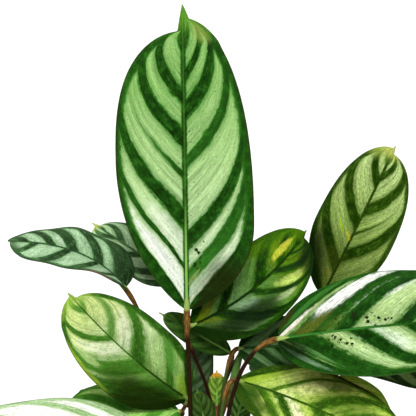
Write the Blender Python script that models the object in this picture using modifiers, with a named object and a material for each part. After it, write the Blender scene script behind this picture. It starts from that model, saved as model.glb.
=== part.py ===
"""A potted ctenanthe (fishbone prayer plant), 35 cm tall, in a plain 13 cm clay pot.

The plant is a clump of leaf shoots. Each shoot is a short sheathed stem standing on the potting mix. From its
top rise the stalks, and each stalk ends in a thicker joint, the pulvinus, that carries one leaf blade.
Z is up, the origin is the centre of the pot's foot, and the plant's face looks along -Y.
"""

import math
from collections import namedtuple

import bmesh
import bpy
from mathutils import Matrix, Vector

MM = 0.001
GAP = 0.3 * MM  # clearance wherever two pieces meet

# The pot, turned on the Z axis
POT_HEIGHT = 110 * MM
RIM_RADIUS = 65 * MM
RIM_BAND = 24 * MM  # height of the thicker band under the lip
RIM_STEP = 3.5 * MM  # how far the band stands out of the wall
FOOT_RADIUS = 43 * MM
WALL = 6 * MM
FLOOR = 7 * MM
EDGE = 2 * MM  # chamfer that rounds the lip, the band and the foot
DRAIN_RADIUS = 6.5 * MM
POT_STEPS = 40
AXIS_MERGE = 0.05 * MM  # points this near the axis become one

# The potting mix
SOIL_TOP = 98 * MM
SOIL_SHOULDER = 8 * MM  # width of the lower edge where the mix meets the pot
SOIL_DIP = 2.5 * MM  # how far that edge lies under the middle

# Leaf blades. The places of an outline are shares of the blade's length, measured from its base.
BLADE_THICKNESS = 0.8 * MM
BLADE_ROWS = 12
BLADE_COLUMNS = 4
ROW_CROWDING = 0.11  # how far the rows move towards the base and the drip tip, where the outline turns
DRIP_START = 0.84  # the drip tip sets in here, as a share of the blade's length
DRIP_FULL = 0.88
DRIP_POWER = 0.8  # under 1, the drip tip swells before it narrows to its point
DRIP_BLEND = 2.5  # the lower, the softer the corner between the rounded end and the drip tip
LEAST_HALF_WIDTH = 0.35 * MM
CAMBER = 0.10  # how far the edges of each half curve back, as a share of its width
SMOOTH_ANGLE = 40  # degrees: a sharper edge than this stays sharp

# Stalks and sheaths
STALK_POINTS = 9
END_LENGTH = 1.5 * MM  # the straight first and last bits of a stalk
STALK_SIDES = 6
STALK_RADIUS = 0.6 * MM
STALK_RADIUS_BY_WIDTH = 0.011
PULVINUS_SWELL = 1.5
PULVINUS_LENGTH = 13 * MM
SHEATH_SIDES = 10
SHEATH_WALL = 0.5 * MM
SHEATH_LIP = 1 * MM
SHEATH_WAIST = 0.4  # share of the sheath's height
SHEATH_FOOT_SWELL = 1.25  # its radius there and at the waist, against the radius at its top
SHEATH_WAIST_SWELL = 1.1

# The rolled leaf
SPIKE_SIDES = 8
SPIKE_STALK_RADIUS = 1.0 * MM
SPIKE_RISE = 4  # the spike's stalk leaves along its shoot for this much, in mm
SPIKE_BEND = 0.6  # where the stalk turns towards the spike, as a share of the way to its base
SPIKE_PLACES = (0.3, 0.7)  # shares of the way from the spike's base to its tip
SPIKE_RADII = [1.3 * MM, 2.4 * MM, 1.8 * MM, 0.3 * MM]  # at its base, at the two places and at its tip

Shoot = namedtuple("Shoot", "foot top")
Half = namedtuple("Half", "share widest shoulder fullness taper drip")
Leaf = namedtuple("Leaf", "shoot base tip face width arch sway fold twist reach left right finish")

# Each shoot's foot on the mix and the top of its sheath, in mm.
SHOOTS = {
    "front_left": Shoot((-7, -11), (-6, -12, 118)),
    "front_right": Shoot((8, -17), (8, -20, 119)),
    "centre": Shoot((2, 4), (5, 4, 124)),
    "right": Shoot((20, 6), (22, 7, 120)),
    "left": Shoot((-19, 9), (-20, 11, 122)),
    "back": Shoot((4, 24), (4, 27, 121)),
}


def half(share=1, widest=0.42, shoulder=0.94, fullness=2.4, taper=0.65, drip=0.12):
    """The outline of one half of a blade. Share is its width against half the leaf's. It is widest at one
    place and ends at the shoulder, where the drip tip goes on. Fullness keeps it wide towards the shoulder, a
    low taper rounds its base, and drip is the drip tip's width where it starts, against the half's."""
    return Half(share, widest, shoulder, fullness, taper, drip)


def leaf(
    shoot, base, tip, face, width,
    arch=(6, 6), sway=(0, 0), fold=(10, 10), twist=0, reach=(0.4, 0.3),
    left=half(), right=half(), finish="blade",
):
    """One leaf. Base and tip are points and face the way its upper side looks. Arch and sway bend the midrib:
    the heights of its two inner control points over the chord, upwards and sideways. All lengths are in mm.
    Fold is the angle of each half out of the flat, at the base and at the tip, and twist the turn from base
    to tip, in degrees. Reach is how far the stalk keeps its first and its last direction, as shares of its
    span. Left and right are the blade's halves, seen from its upper side with the tip up."""
    base, tip, face = Vector(base), Vector(tip), Vector(face)
    return Leaf(shoot, base, tip, face, width, arch, sway, fold, twist, reach, left, right, finish)


LEAVES = {
    "tall_centre": leaf(
        "front_left", (-9, -8, 197), (-11, 8, 347), (0.03, -1, 0.1), 68, arch=(3, 5), fold=(7, 7),
        left=half(widest=0.5, shoulder=0.915, fullness=2.8, taper=0.8, drip=0.10),
        right=half(widest=0.28, shoulder=0.955, drip=0.20),
    ),
    "left_drooping": leaf(
        "left", (-40, 4, 204.5), (-97.3, -3, 231), (0.1, -0.5, 0.86), 42, arch=(16, 12),
        fold=(44, -12), twist=8,
        left=half(share=0.72, widest=0.5, shoulder=0.985, fullness=2.2, taper=0.42),
        right=half(share=0.72, widest=0.2, shoulder=1, fullness=3.6, taper=0.34), finish="grey_blade",
    ),
    "left_back": leaf(
        "back", (-12, 20, 203), (-57.4, 35, 229.6), (-0.2, -0.4, 0.9), 30, arch=(4, 4), sway=(3, 3), fold=(8, 8),
        left=half(shoulder=0.953), right=half(shoulder=0.927), finish="grey_blade",
    ),
    "left_front": leaf(
        "front_left", (-9, 4, 146), (-65.5, -40, 215.5), (-0.25, -0.85, 0.45), 44, arch=(5, 6), sway=(3, 3),
        fold=(8, 8), left=half(shoulder=0.98, drip=0.22), right=half(shoulder=0.955, drip=0.14),
    ),
    "low_left": leaf(
        "front_left", (-27, -28, 140), (-160, -76, 120), (0, -0.45, 0.9), 54, arch=(22, 18),
        finish="pale_blade",
    ),
    "under_left": leaf(
        "left", (-13, 4, 139), (-74, -20, 138), (0, -0.45, 0.9), 42, arch=(6, 10), finish="pale_blade",
    ),
    "small_back": leaf(
        "back", (13, 11, 168), (-23, 6, 191), (-0.2, -0.9, 0.4), 14, arch=(2, 3), fold=(8, 8),
        reach=(0.5, 0.1), finish="deep_blade",
    ),
    "inner_left": leaf("left", (-10, 15, 139), (0, 19, 177), (0, -1, 0.2), 17, arch=(2, 2)),
    "right_upper": leaf(
        "right", (60, 26, 194), (95, 20, 273.5), (-0.25, -0.95, 0.1), 42, arch=(5, 5), sway=(-1, -1),
        reach=(0.5, 0.3), left=half(widest=0.45, shoulder=0.985), right=half(widest=0.45, shoulder=0.955),
    ),
    "right_middle": leaf(
        "centre", (-7, 0, 186), (51, 20, 230), (0.15, -0.85, 0.5), 40, arch=(5, 5), sway=(-8, -8),
        fold=(8, 8), reach=(0.5, 0.15), left=half(shoulder=0.985), right=half(shoulder=0.95),
        finish="deep_blade",
    ),
    "right_large": leaf(
        "front_right", (36, -18, 185), (160, -36, 202), (0, -0.75, 0.65), 56, arch=(7, 7), fold=(14, 14),
        left=half(taper=0.5), right=half(taper=0.5), finish="pale_blade",
    ),
    "right_under": leaf(
        "centre", (17, 9, 171), (84, 14, 169), (0, -0.8, 0.6), 33, fold=(8, 8), reach=(0.5, 0.12),
        left=half(taper=0.5), right=half(taper=0.5), finish="deep_blade",
    ),
    "right_front": leaf(
        "front_right", (16, -8, 160), (101.5, -54, 134.5), (0.1, -0.6, 0.8), 46, arch=(8, 9), reach=(0.5, 0.2),
        finish="lime_blade",
    ),
    "right_low_back": leaf(
        "right", (62, 16, 151), (94, 4, 123), (0, -0.7, 0.7), 28, arch=(6, 8), reach=(0.25, 0.3),
        finish="lime_blade",
    ),
    "far_right": leaf(
        "back", (44, 34, 175), (128, 28, 144), (0, -0.7, 0.75), 30, arch=(6, 8), finish="deep_blade",
    ),
    "young_centre": leaf("centre", (6, 11, 140), (6, 13, 158), (0, -1, 0.2), 10, arch=(1, 1), fold=(16, 16)),
    "young_left": leaf(
        "front_left", (1, -5, 132), (-4, -7, 155), (0, -1, 0.3), 13, arch=(1, 1), fold=(16, 16),
    ),
    "young_right": leaf("right", (16, 5, 134), (21, 7, 154), (0, -1, 0.3), 14, arch=(1, 1), fold=(12, 12)),
    "back_tall": leaf("back", (-3, 34, 191), (-7, 50, 290), (0, 1, 0.15), 48, arch=(4, 6), fold=(8, 8)),
    "back_left_low": leaf("left", (-25, 30, 142), (-58, 95, 106), (-0.3, 0.6, 0.8), 46, arch=(10, 12)),
    "back_right_low": leaf("right", (30, 38, 146), (70, 98, 108), (0.3, 0.6, 0.8), 46, arch=(10, 12)),
    "back_centre_low": leaf("back", (-4, 46, 134), (0, 118, 94), (0, 0.6, 0.8), 42, arch=(10, 12)),
    "low_front": leaf("front_right", (2, -36, 126), (8, -118, 104), (0, -0.4, 1), 48, arch=(12, 14)),
    "low_right_front": leaf(
        "front_right", (34, -28, 130), (112, -76, 106), (0.2, -0.3, 1), 46, arch=(10, 12),
    ),
    "low_right": leaf("right", (42, 0, 118), (122, 16, 92), (0.3, 0.1, 1), 46, arch=(12, 10)),
}

ROLLED_LEAF = leaf("centre", (12.5, 15.5, 145), (20.5, 14.5, 176), (0, -1, 0), 12)

COLOURS = {
    "pot": ((0.55, 0.27, 0.15, 1), 0.8),
    "soil": ((0.06, 0.04, 0.03, 1), 0.95),
    "blade": ((0.26, 0.45, 0.17, 1), 0.42),
    "pale_blade": ((0.42, 0.58, 0.30, 1), 0.4),
    "deep_blade": ((0.08, 0.19, 0.05, 1), 0.42),
    "grey_blade": ((0.20, 0.33, 0.19, 1), 0.45),
    "lime_blade": ((0.36, 0.47, 0.08, 1), 0.42),
    "stalk": ((0.19, 0.13, 0.06, 1), 0.5),
    "sheath": ((0.20, 0.22, 0.08, 1), 0.55),
}


def clear_scene():
    for obj in list(bpy.data.objects):
        bpy.data.objects.remove(obj, do_unlink=True)


def material(name):
    """A Principled material with this finish's colour and roughness."""
    colour, roughness = COLOURS[name]
    made = bpy.data.materials.new(name)
    made.use_nodes = True
    shader = made.node_tree.nodes["Principled BSDF"]
    shader.inputs["Base Color"].default_value = colour
    shader.inputs["Roughness"].default_value = roughness
    return made


def add_object(name, data, collection, parent, finish):
    made = bpy.data.objects.new(name, data)
    made.parent = parent
    data.materials.append(finish)
    collection.objects.link(made)
    return made


def bezier(points, t):
    """The point at t on a cubic curve through its first and last control points."""
    a, b, c, d = points
    u = 1 - t
    return a * u**3 + b * (3 * u * u * t) + c * (3 * u * t * t) + d * t**3


def bezier_direction(points, t):
    a, b, c, d = points
    u = 1 - t
    return ((b - a) * (u * u) + (c - b) * (2 * u * t) + (d - c) * (t * t)).normalized()


# --- Pot and potting mix ---------------------------------------------------------------------------------


def wall_radius(z):
    """Radius of the pot's outer wall at this height, without the band."""
    return FOOT_RADIUS + (RIM_RADIUS - RIM_STEP - FOOT_RADIUS) * z / POT_HEIGHT


def turned(name, profile, closed, collection, parent, finish):
    """A profile of (radius, height) points turned all the way round the Z axis."""
    mesh = bpy.data.meshes.new(name)
    count = len(profile)
    edges = [(i, i + 1) for i in range(count - 1)]
    if closed:
        edges.append((count - 1, 0))
    mesh.from_pydata([(r, 0, z) for r, z in profile], edges, [])
    made = add_object(name, mesh, collection, parent, finish)
    screw = made.modifiers.new("turn", "SCREW")
    screw.steps = screw.render_steps = POT_STEPS
    screw.use_merge_vertices = True
    screw.merge_threshold = AXIS_MERGE
    return made


def make_pot(collection, parent, finish):
    band_bottom = POT_HEIGHT - RIM_BAND
    profile = [
        (RIM_RADIUS - EDGE, POT_HEIGHT),
        (RIM_RADIUS, POT_HEIGHT - EDGE),
        (RIM_RADIUS, band_bottom + EDGE),
        (RIM_RADIUS - EDGE / 2, band_bottom),
        (wall_radius(band_bottom), band_bottom - EDGE),
        (wall_radius(EDGE), EDGE),
        (FOOT_RADIUS - EDGE, 0),
        (DRAIN_RADIUS, 0),
        (DRAIN_RADIUS, FLOOR),
        (wall_radius(FLOOR) - WALL - EDGE, FLOOR),
        (wall_radius(FLOOR) - WALL, FLOOR + EDGE),
        (wall_radius(POT_HEIGHT) - WALL, POT_HEIGHT - EDGE),
        (wall_radius(POT_HEIGHT) - WALL + EDGE, POT_HEIGHT),
    ]
    return turned("pot", profile, True, collection, parent, finish)


def make_soil(collection, parent, finish):
    edge_height = SOIL_TOP - SOIL_DIP
    edge_radius = wall_radius(edge_height) - WALL - GAP
    corner = FLOOR + EDGE
    profile = [
        (0, SOIL_TOP),
        (edge_radius - SOIL_SHOULDER, SOIL_TOP),
        (edge_radius, edge_height),
        (wall_radius(corner) - WALL - GAP, corner + GAP),
        (wall_radius(FLOOR) - WALL - EDGE - GAP, FLOOR + GAP),
        (0, FLOOR + GAP),
    ]
    return turned("potting_mix", profile, False, collection, parent, finish)


# --- Leaf blades -----------------------------------------------------------------------------------------


def half_width(side, s):
    """The width of this half of a blade at share s of its length, as a share of half the leaf's width."""
    if s < side.widest:
        return side.share * max(0.0, 1 - (1 - s / side.widest) ** 2) ** side.taper
    fall = min(1.0, (s - side.widest) / (side.shoulder - side.widest))
    body = max(0.0, 1 - fall**side.fullness) ** 0.5
    rise = min(1.0, max(0.0, (s - DRIP_START) / (DRIP_FULL - DRIP_START)))
    drip = side.drip * rise * ((1 - s) / (1 - DRIP_FULL)) ** DRIP_POWER
    return side.share * (body**DRIP_BLEND + drip**DRIP_BLEND) ** (1 / DRIP_BLEND)


def row_place(x):
    """Spreads the rows so that they lie closer where the outline turns, at the base and the drip tip."""
    return x - ROW_CROWDING * math.sin(2 * math.pi * x) if x < 1 else 1.0


def blade_matrix(spec):
    """Places the blade's own axes: X from base to tip, Z out of its upper side."""
    along = (spec.tip - spec.base).normalized()
    up = (spec.face - along * spec.face.dot(along)).normalized()
    side = up.cross(along)
    turn = Matrix((along, side, up)).transposed().to_4x4()
    return Matrix.Translation(spec.base * MM) @ turn


def midrib(spec):
    """The four control points of the midrib in the blade's own axes."""
    chord = (spec.tip - spec.base).length
    near = Vector((chord / 3, spec.sway[0], spec.arch[0]))
    far = Vector((chord * 2 / 3, spec.sway[1], spec.arch[1]))
    return [point * MM for point in (Vector((0, 0, 0)), near, far, Vector((chord, 0, 0)))]


def blade_point(spec, s, across):
    """A point of the blade's middle surface: s runs from base to tip, across from -1 to 1."""
    curve = midrib(spec)
    along = bezier_direction(curve, s)
    side = Vector((0, 0, 1)).cross(along).normalized()
    side = Matrix.Rotation(math.radians(spec.twist * s), 3, along) @ side
    up = along.cross(side)
    width = spec.width / 2 * MM * half_width(spec.left if across > 0 else spec.right, s)
    width = max(width, LEAST_HALF_WIDTH)
    out = width * abs(across)
    fold = math.radians(spec.fold[0] * (1 - s) + spec.fold[1] * s)
    rise = out * math.sin(fold) - CAMBER * width * across * across
    return bezier(curve, s) + side * math.copysign(out * math.cos(fold), across) + up * rise


def make_blade(name, spec, collection, parent, finish):
    shape = bmesh.new()
    bmesh.ops.create_grid(shape, x_segments=BLADE_ROWS, y_segments=BLADE_COLUMNS, size=1)
    for vert in shape.verts:
        s = row_place((vert.co.x + 1) / 2)
        vert.co = blade_point(spec, s, vert.co.y)
    mesh = bpy.data.meshes.new(name)
    shape.to_mesh(mesh)
    shape.free()
    mesh.shade_smooth()
    mesh.set_sharp_from_angle(angle=math.radians(SMOOTH_ANGLE))
    made = add_object(name, mesh, collection, parent, finish)
    made.matrix_world = blade_matrix(spec)
    skin = made.modifiers.new("thickness", "SOLIDIFY")
    skin.thickness = BLADE_THICKNESS
    skin.offset = 0
    return made


# --- Stalks and sheaths ----------------------------------------------------------------------------------


def tube(name, points, radii, sides, collection, parent, finish):
    """A round stem through these points, with closed ends."""
    curve = bpy.data.curves.new(name, "CURVE")
    curve.dimensions = "3D"
    curve.bevel_depth = 1
    curve.bevel_resolution = (sides - 4) // 2
    curve.use_fill_caps = True
    spline = curve.splines.new("POLY")
    spline.points.add(len(points) - 1)
    for place, point, radius in zip(spline.points, points, radii):
        place.co = (*point, 1)
        place.radius = radius
    return add_object(name, curve, collection, parent, finish)


def stalk_radius(spec):
    return STALK_RADIUS + STALK_RADIUS_BY_WIDTH * spec.width * MM


def shoot_axis(shoot):
    foot = Vector((*shoot.foot, SOIL_TOP / MM)) * MM
    top = Vector(shoot.top) * MM
    return foot, top, (top - foot).normalized()


def stalk_starts(shoot_name):
    """Where each stalk of a shoot leaves its sheath: side by side in a ring, in order of their bearings."""
    foot, top, axis = shoot_axis(SHOOTS[shoot_name])
    grown = {**LEAVES, "rolled_leaf": ROLLED_LEAF}
    members = {name: spec for name, spec in grown.items() if spec.shoot == shoot_name}
    bearing = {}
    for name, spec in members.items():
        away = spec.base * MM - top
        bearing[name] = math.atan2(away.y, away.x)
    order = sorted(members, key=bearing.get)
    share = 2 * math.pi / len(order)
    lag = [bearing[name] - share * i for i, name in enumerate(order)]
    start = math.atan2(sum(map(math.sin, lag)), sum(map(math.cos, lag)))
    widest = max(stalk_radius(spec) for spec in members.values())
    ring = (widest + GAP / 2) / math.sin(share / 2)
    places = {}
    for i, name in enumerate(order):
        angle = start + share * i
        places[name] = top + axis * GAP + Vector((math.cos(angle), math.sin(angle), 0)) * ring
    return places, ring + widest + SHEATH_WALL


def stalk_path(start, axis, end, direction, reach):
    """From start along the sheath's axis to end along the blade's direction, a little straight at each."""
    span = (end - start).length
    curve = [start, start + axis * span * reach[0], end - direction * span * reach[1], end]
    margin = END_LENGTH / span
    steps = [margin + (1 - 2 * margin) * i / (STALK_POINTS - 3) for i in range(STALK_POINTS - 2)]
    inner = [bezier(curve, t) for t in steps[1:-1]]
    return [start, start + axis * END_LENGTH, *inner, end - direction * END_LENGTH, end]


def make_stalk(name, spec, start, axis, collection, parent, finish):
    """A stalk from its place on the sheath to just under the blade, swelling into the pulvinus."""
    turn = blade_matrix(spec).to_3x3()
    direction = turn @ bezier_direction(midrib(spec), 0)
    end = spec.base * MM - direction * GAP
    points = stalk_path(start, axis, end, direction, spec.reach)
    thin = stalk_radius(spec)
    radii = []
    for point in points:
        near = max(0.0, 1 - (point - end).length / PULVINUS_LENGTH)
        radii.append(thin * (1 + (PULVINUS_SWELL - 1) * min(1.0, 2 * near)))
    return tube(name, points, radii, STALK_SIDES, collection, parent, finish)


def make_sheath(name, shoot, radius, collection, parent, finish):
    foot, top, axis = shoot_axis(shoot)
    start = foot + Vector((0, 0, GAP))
    waist = start + Vector((0, 0, (top - start).length * SHEATH_WAIST))
    points = [start, waist, top - axis * SHEATH_LIP, top]
    radii = [radius * SHEATH_FOOT_SWELL, radius * SHEATH_WAIST_SWELL, radius, radius]
    return tube(name, points, radii, SHEATH_SIDES, collection, parent, finish)


def make_rolled_leaf(start, axis, collection, parent, finish):
    """The newest leaf, still rolled into a spike on its stalk, so that both are one piece."""
    base, tip = ROLLED_LEAF.base * MM, ROLLED_LEAF.tip * MM
    stalk = [start, start + axis * SPIKE_RISE * MM, start.lerp(base, SPIKE_BEND)]
    spike = [base, *(base.lerp(tip, place) for place in SPIKE_PLACES), tip]
    radii = [SPIKE_STALK_RADIUS] * len(stalk) + SPIKE_RADII
    return tube("rolled_leaf", stalk + spike, radii, SPIKE_SIDES, collection, parent, finish)


def main():
    clear_scene()
    collection = bpy.data.collections.new("potted_ctenanthe")
    bpy.context.scene.collection.children.link(collection)
    whole = bpy.data.objects.new("potted_ctenanthe", None)
    collection.objects.link(whole)
    finish = {name: material(name) for name in COLOURS}

    make_pot(collection, whole, finish["pot"])
    make_soil(collection, whole, finish["soil"])
    for shoot_name, shoot in SHOOTS.items():
        places, sheath_radius = stalk_starts(shoot_name)
        make_sheath(f"{shoot_name}_sheath", shoot, sheath_radius, collection, whole, finish["sheath"])
        axis = shoot_axis(shoot)[2]
        for name, start in places.items():
            if name == "rolled_leaf":
                make_rolled_leaf(start, axis, collection, whole, finish["blade"])
            else:
                make_stalk(f"{name}_stalk", LEAVES[name], start, axis, collection, whole, finish["stalk"])
    for name, spec in LEAVES.items():
        make_blade(f"{name}_blade", spec, collection, whole, finish[spec.finish])


main()
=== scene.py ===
import math
import random
from contextlib import contextmanager
from functools import partial
from types import SimpleNamespace

import bpy
from mathutils import Euler, Matrix, Vector, noise


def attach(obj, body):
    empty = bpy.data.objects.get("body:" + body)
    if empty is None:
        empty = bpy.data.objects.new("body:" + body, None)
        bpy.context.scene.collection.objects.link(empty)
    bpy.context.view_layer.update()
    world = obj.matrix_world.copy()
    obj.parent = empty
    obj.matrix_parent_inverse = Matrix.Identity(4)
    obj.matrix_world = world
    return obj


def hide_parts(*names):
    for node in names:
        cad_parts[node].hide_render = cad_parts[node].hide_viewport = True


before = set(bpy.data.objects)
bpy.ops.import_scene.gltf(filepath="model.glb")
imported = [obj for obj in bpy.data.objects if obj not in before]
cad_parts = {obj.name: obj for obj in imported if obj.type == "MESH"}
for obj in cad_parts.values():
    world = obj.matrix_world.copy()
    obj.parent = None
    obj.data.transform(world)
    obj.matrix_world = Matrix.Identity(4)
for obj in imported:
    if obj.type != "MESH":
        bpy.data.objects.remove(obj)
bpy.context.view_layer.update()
mm = 0.001
print("frame loaded:", len(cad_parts), "solids")


# Camera and light

camera = dict(target=(0.0015, 0, 0.247), distance=1.1, elevation=15, lens=193.1, sensor=36)
lamps = {
    "overheadSoftbox": dict(strength=3.0, spread=35, turn=(42, 0, 8), colour="#ffffff"),
    "leftReflector": dict(strength=0.7, spread=30, turn=(60, 0, -60), colour="#ffffff"),
    "rearReflector": dict(strength=0.8, spread=60, turn=(-62, 0, 24), colour="#ffffff"),
}
room = dict(
    colour="#ffffff", strength=0.17, floorSize=24, floorColour="#ffffff", floorBounce="#9a9a98",
    floorGlow=0.12,
)


def linear(hexColour):  # "#rrggbb" as the linear values that the nodes take
    parts = [int(hexColour[i : i + 2], 16) / 255 for i in (1, 3, 5)]
    return [p / 12.92 if p <= 0.04045 else ((p + 0.055) / 1.055) ** 2.4 for p in parts] + [1]


def addNode(tree, kind, *inputs, **settings):
    # Adds a node, gives its shown inputs these values, hex colours or links, and returns its first output
    made = tree.nodes.new("ShaderNode" + kind)
    if kind == "Mix":
        made.data_type = "RGBA"
    for key, value in settings.items():
        setattr(made, key, value)
    shown = [socket for socket in made.inputs if socket.enabled]
    for socket, value in zip(shown, inputs):
        if isinstance(value, bpy.types.NodeSocket):
            tree.links.new(value, socket)
        elif value is not None:
            socket.default_value = linear(value) if isinstance(value, str) else value
    return next(socket for socket in made.outputs if socket.enabled)


def fillRamp(output, stops, interpolation="LINEAR"):
    # Stops are (place, value), where the value is a grey, a hex colour or three channels
    ramp = output.node.color_ramp
    ramp.interpolation = interpolation
    while len(ramp.elements) > 1:
        ramp.elements.remove(ramp.elements[-1])
    for i, (place, value) in enumerate(stops):
        stop = ramp.elements[0] if i == 0 else ramp.elements.new(place)
        stop.position = place
        channels = value if isinstance(value, tuple) else (value, value, value)
        stop.color = linear(value) if isinstance(value, str) else (*channels, 1)
    return output


softly = dict(interpolation_type="SMOOTHSTEP")


def coated(add, colour, *coats):
    # Lays coats over a colour: each shows, up to its share, where its value has gone from start to end
    for value, start, end, share, coat in coats:
        shown = add("MapRange", value, start, end, 0.0, share, **softly)
        colour = add("Mix", shown, colour, coat)
    return colour


def newFinish(name):
    # A material with only its Principled shader and its output, and the function that adds a node to it
    made = bpy.data.materials.new(name)
    made.use_nodes = True
    return made, partial(addNode, made.node_tree), made.node_tree.nodes["Principled BSDF"]


def link(value, shader, key):
    shader.id_data.links.new(value, shader.inputs[key])


def dress(add, shader, colour, roughness, specular, relief=None, strength=0.6, depth=0.0002):
    # Gives the shader its colour, how rough and how glossy it is, and relief of this depth in metres
    link(colour, shader, "Base Color")
    shader.inputs["Roughness"].default_value = roughness
    shader.inputs["Specular IOR Level"].default_value = specular
    if relief:
        link(add("Bump", strength, depth, None, relief), shader, "Normal")


def startPiece(name, addShape, **sizes):
    # Adds a primitive with nothing else selected, and names it
    bpy.ops.object.select_all(action="DESELECT")
    addShape(**sizes)
    made = bpy.context.object
    made.name = name
    return made


def pick(*pieces):
    # Selects only these pieces and makes the first of them active
    bpy.ops.object.select_all(action="DESELECT")
    for piece in pieces:
        piece.select_set(True)
    bpy.context.view_layer.objects.active = pieces[0]


@contextmanager
def editing(action="SELECT"):
    # Edit mode for the active piece, with all of it selected or, by DESELECT, none
    bpy.ops.object.mode_set(mode="EDIT")
    bpy.ops.mesh.select_all(action=action)
    yield
    bpy.ops.object.mode_set(mode="OBJECT")


scene = bpy.context.scene
scene.view_settings.view_transform = "Standard"

tilt = math.radians(camera["elevation"])
back = Vector((0, -math.cos(tilt), math.sin(tilt)))
bpy.ops.object.camera_add(location=Vector(camera["target"]) + back * camera["distance"])
scene.camera = bpy.context.object
scene.camera.rotation_euler = (-back).to_track_quat("-Z", "Y").to_euler()
scene.camera.data.lens = camera["lens"]
scene.camera.data.sensor_width = camera["sensor"]
scene.camera.data.clip_start = 0.01

for lampName, lamp in lamps.items():
    bpy.ops.object.light_add(type="SUN", rotation=[math.radians(a) for a in lamp["turn"]])
    made = bpy.context.object
    made.name = lampName
    made.data.energy = lamp["strength"]
    made.data.angle = math.radians(lamp["spread"])
    made.data.color = linear(lamp["colour"])[:3]

scene.world = bpy.data.worlds.new("whiteRoom")
scene.world.use_nodes = True
addLight = partial(addNode, scene.world.node_tree)
roomLight = scene.world.node_tree.nodes["Background"]
seen = addLight("LightPath")  # whether the camera sees the room itself
roomLight.inputs["Color"].default_value = linear(room["colour"])
link(addLight("MapRange", seen, 0.0, 1.0, room["strength"], 1.0), roomLight, "Strength")

floor = startPiece("studioFloor", bpy.ops.mesh.primitive_plane_add, size=room["floorSize"])
paper, addPaper, paperShader = newFinish("matt white paper")  # seamless studio paper, no gloss
# The paper is lit through a little, and card keeps it from lighting the plant
seen = addPaper("LightPath")
link(addPaper("Math", seen, room["floorGlow"], operation="MULTIPLY"), paperShader, "Emission Strength")
paperShader.inputs["Emission Color"].default_value = linear(room["floorColour"])
sheet = addPaper("Mix", seen, room["floorBounce"], room["floorColour"])
link(sheet, paperShader, "Base Color")
paperShader.inputs["Roughness"].default_value = 0.9
floor.data.materials.append(paper)
print("camera, light and floor made")


# Where each shoot and each leaf grows, in mm: the same places as in the CAD part

shoots = {  # foot on the mix, top of the sheath
    "front_left": ((-7, -11), (-6, -12, 118)),
    "front_right": ((8, -17), (8, -20, 119)),
    "centre": ((2, 4), (5, 4, 124)),
    "right": ((20, 6), (22, 7, 120)),
    "left": ((-19, 9), (-20, 11, 122)),
    "back": ((4, 24), (4, 27, 121)),
}
plain = dict(arch=(6, 6), sway=(0, 0), fold=(10, 10), twist=0, reach=(0.4, 0.3))


def half(share=1, widest=0.42, shoulder=0.94, fullness=2.4, taper=0.65, drip=0.12):  # one half's outline
    return dict(share=share, widest=widest, shoulder=shoulder, fullness=fullness, taper=taper, drip=drip)


def leaf(shoot, base, tip, face, width, left=half(), right=half(), **more):
    base, tip = Vector(base), Vector(tip)
    where = dict(base=base, tip=tip, face=Vector(face), length=(tip - base).length)
    return dict(plain, shoot=shoot, width=width, left=left, right=right, **where, **more)


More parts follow.
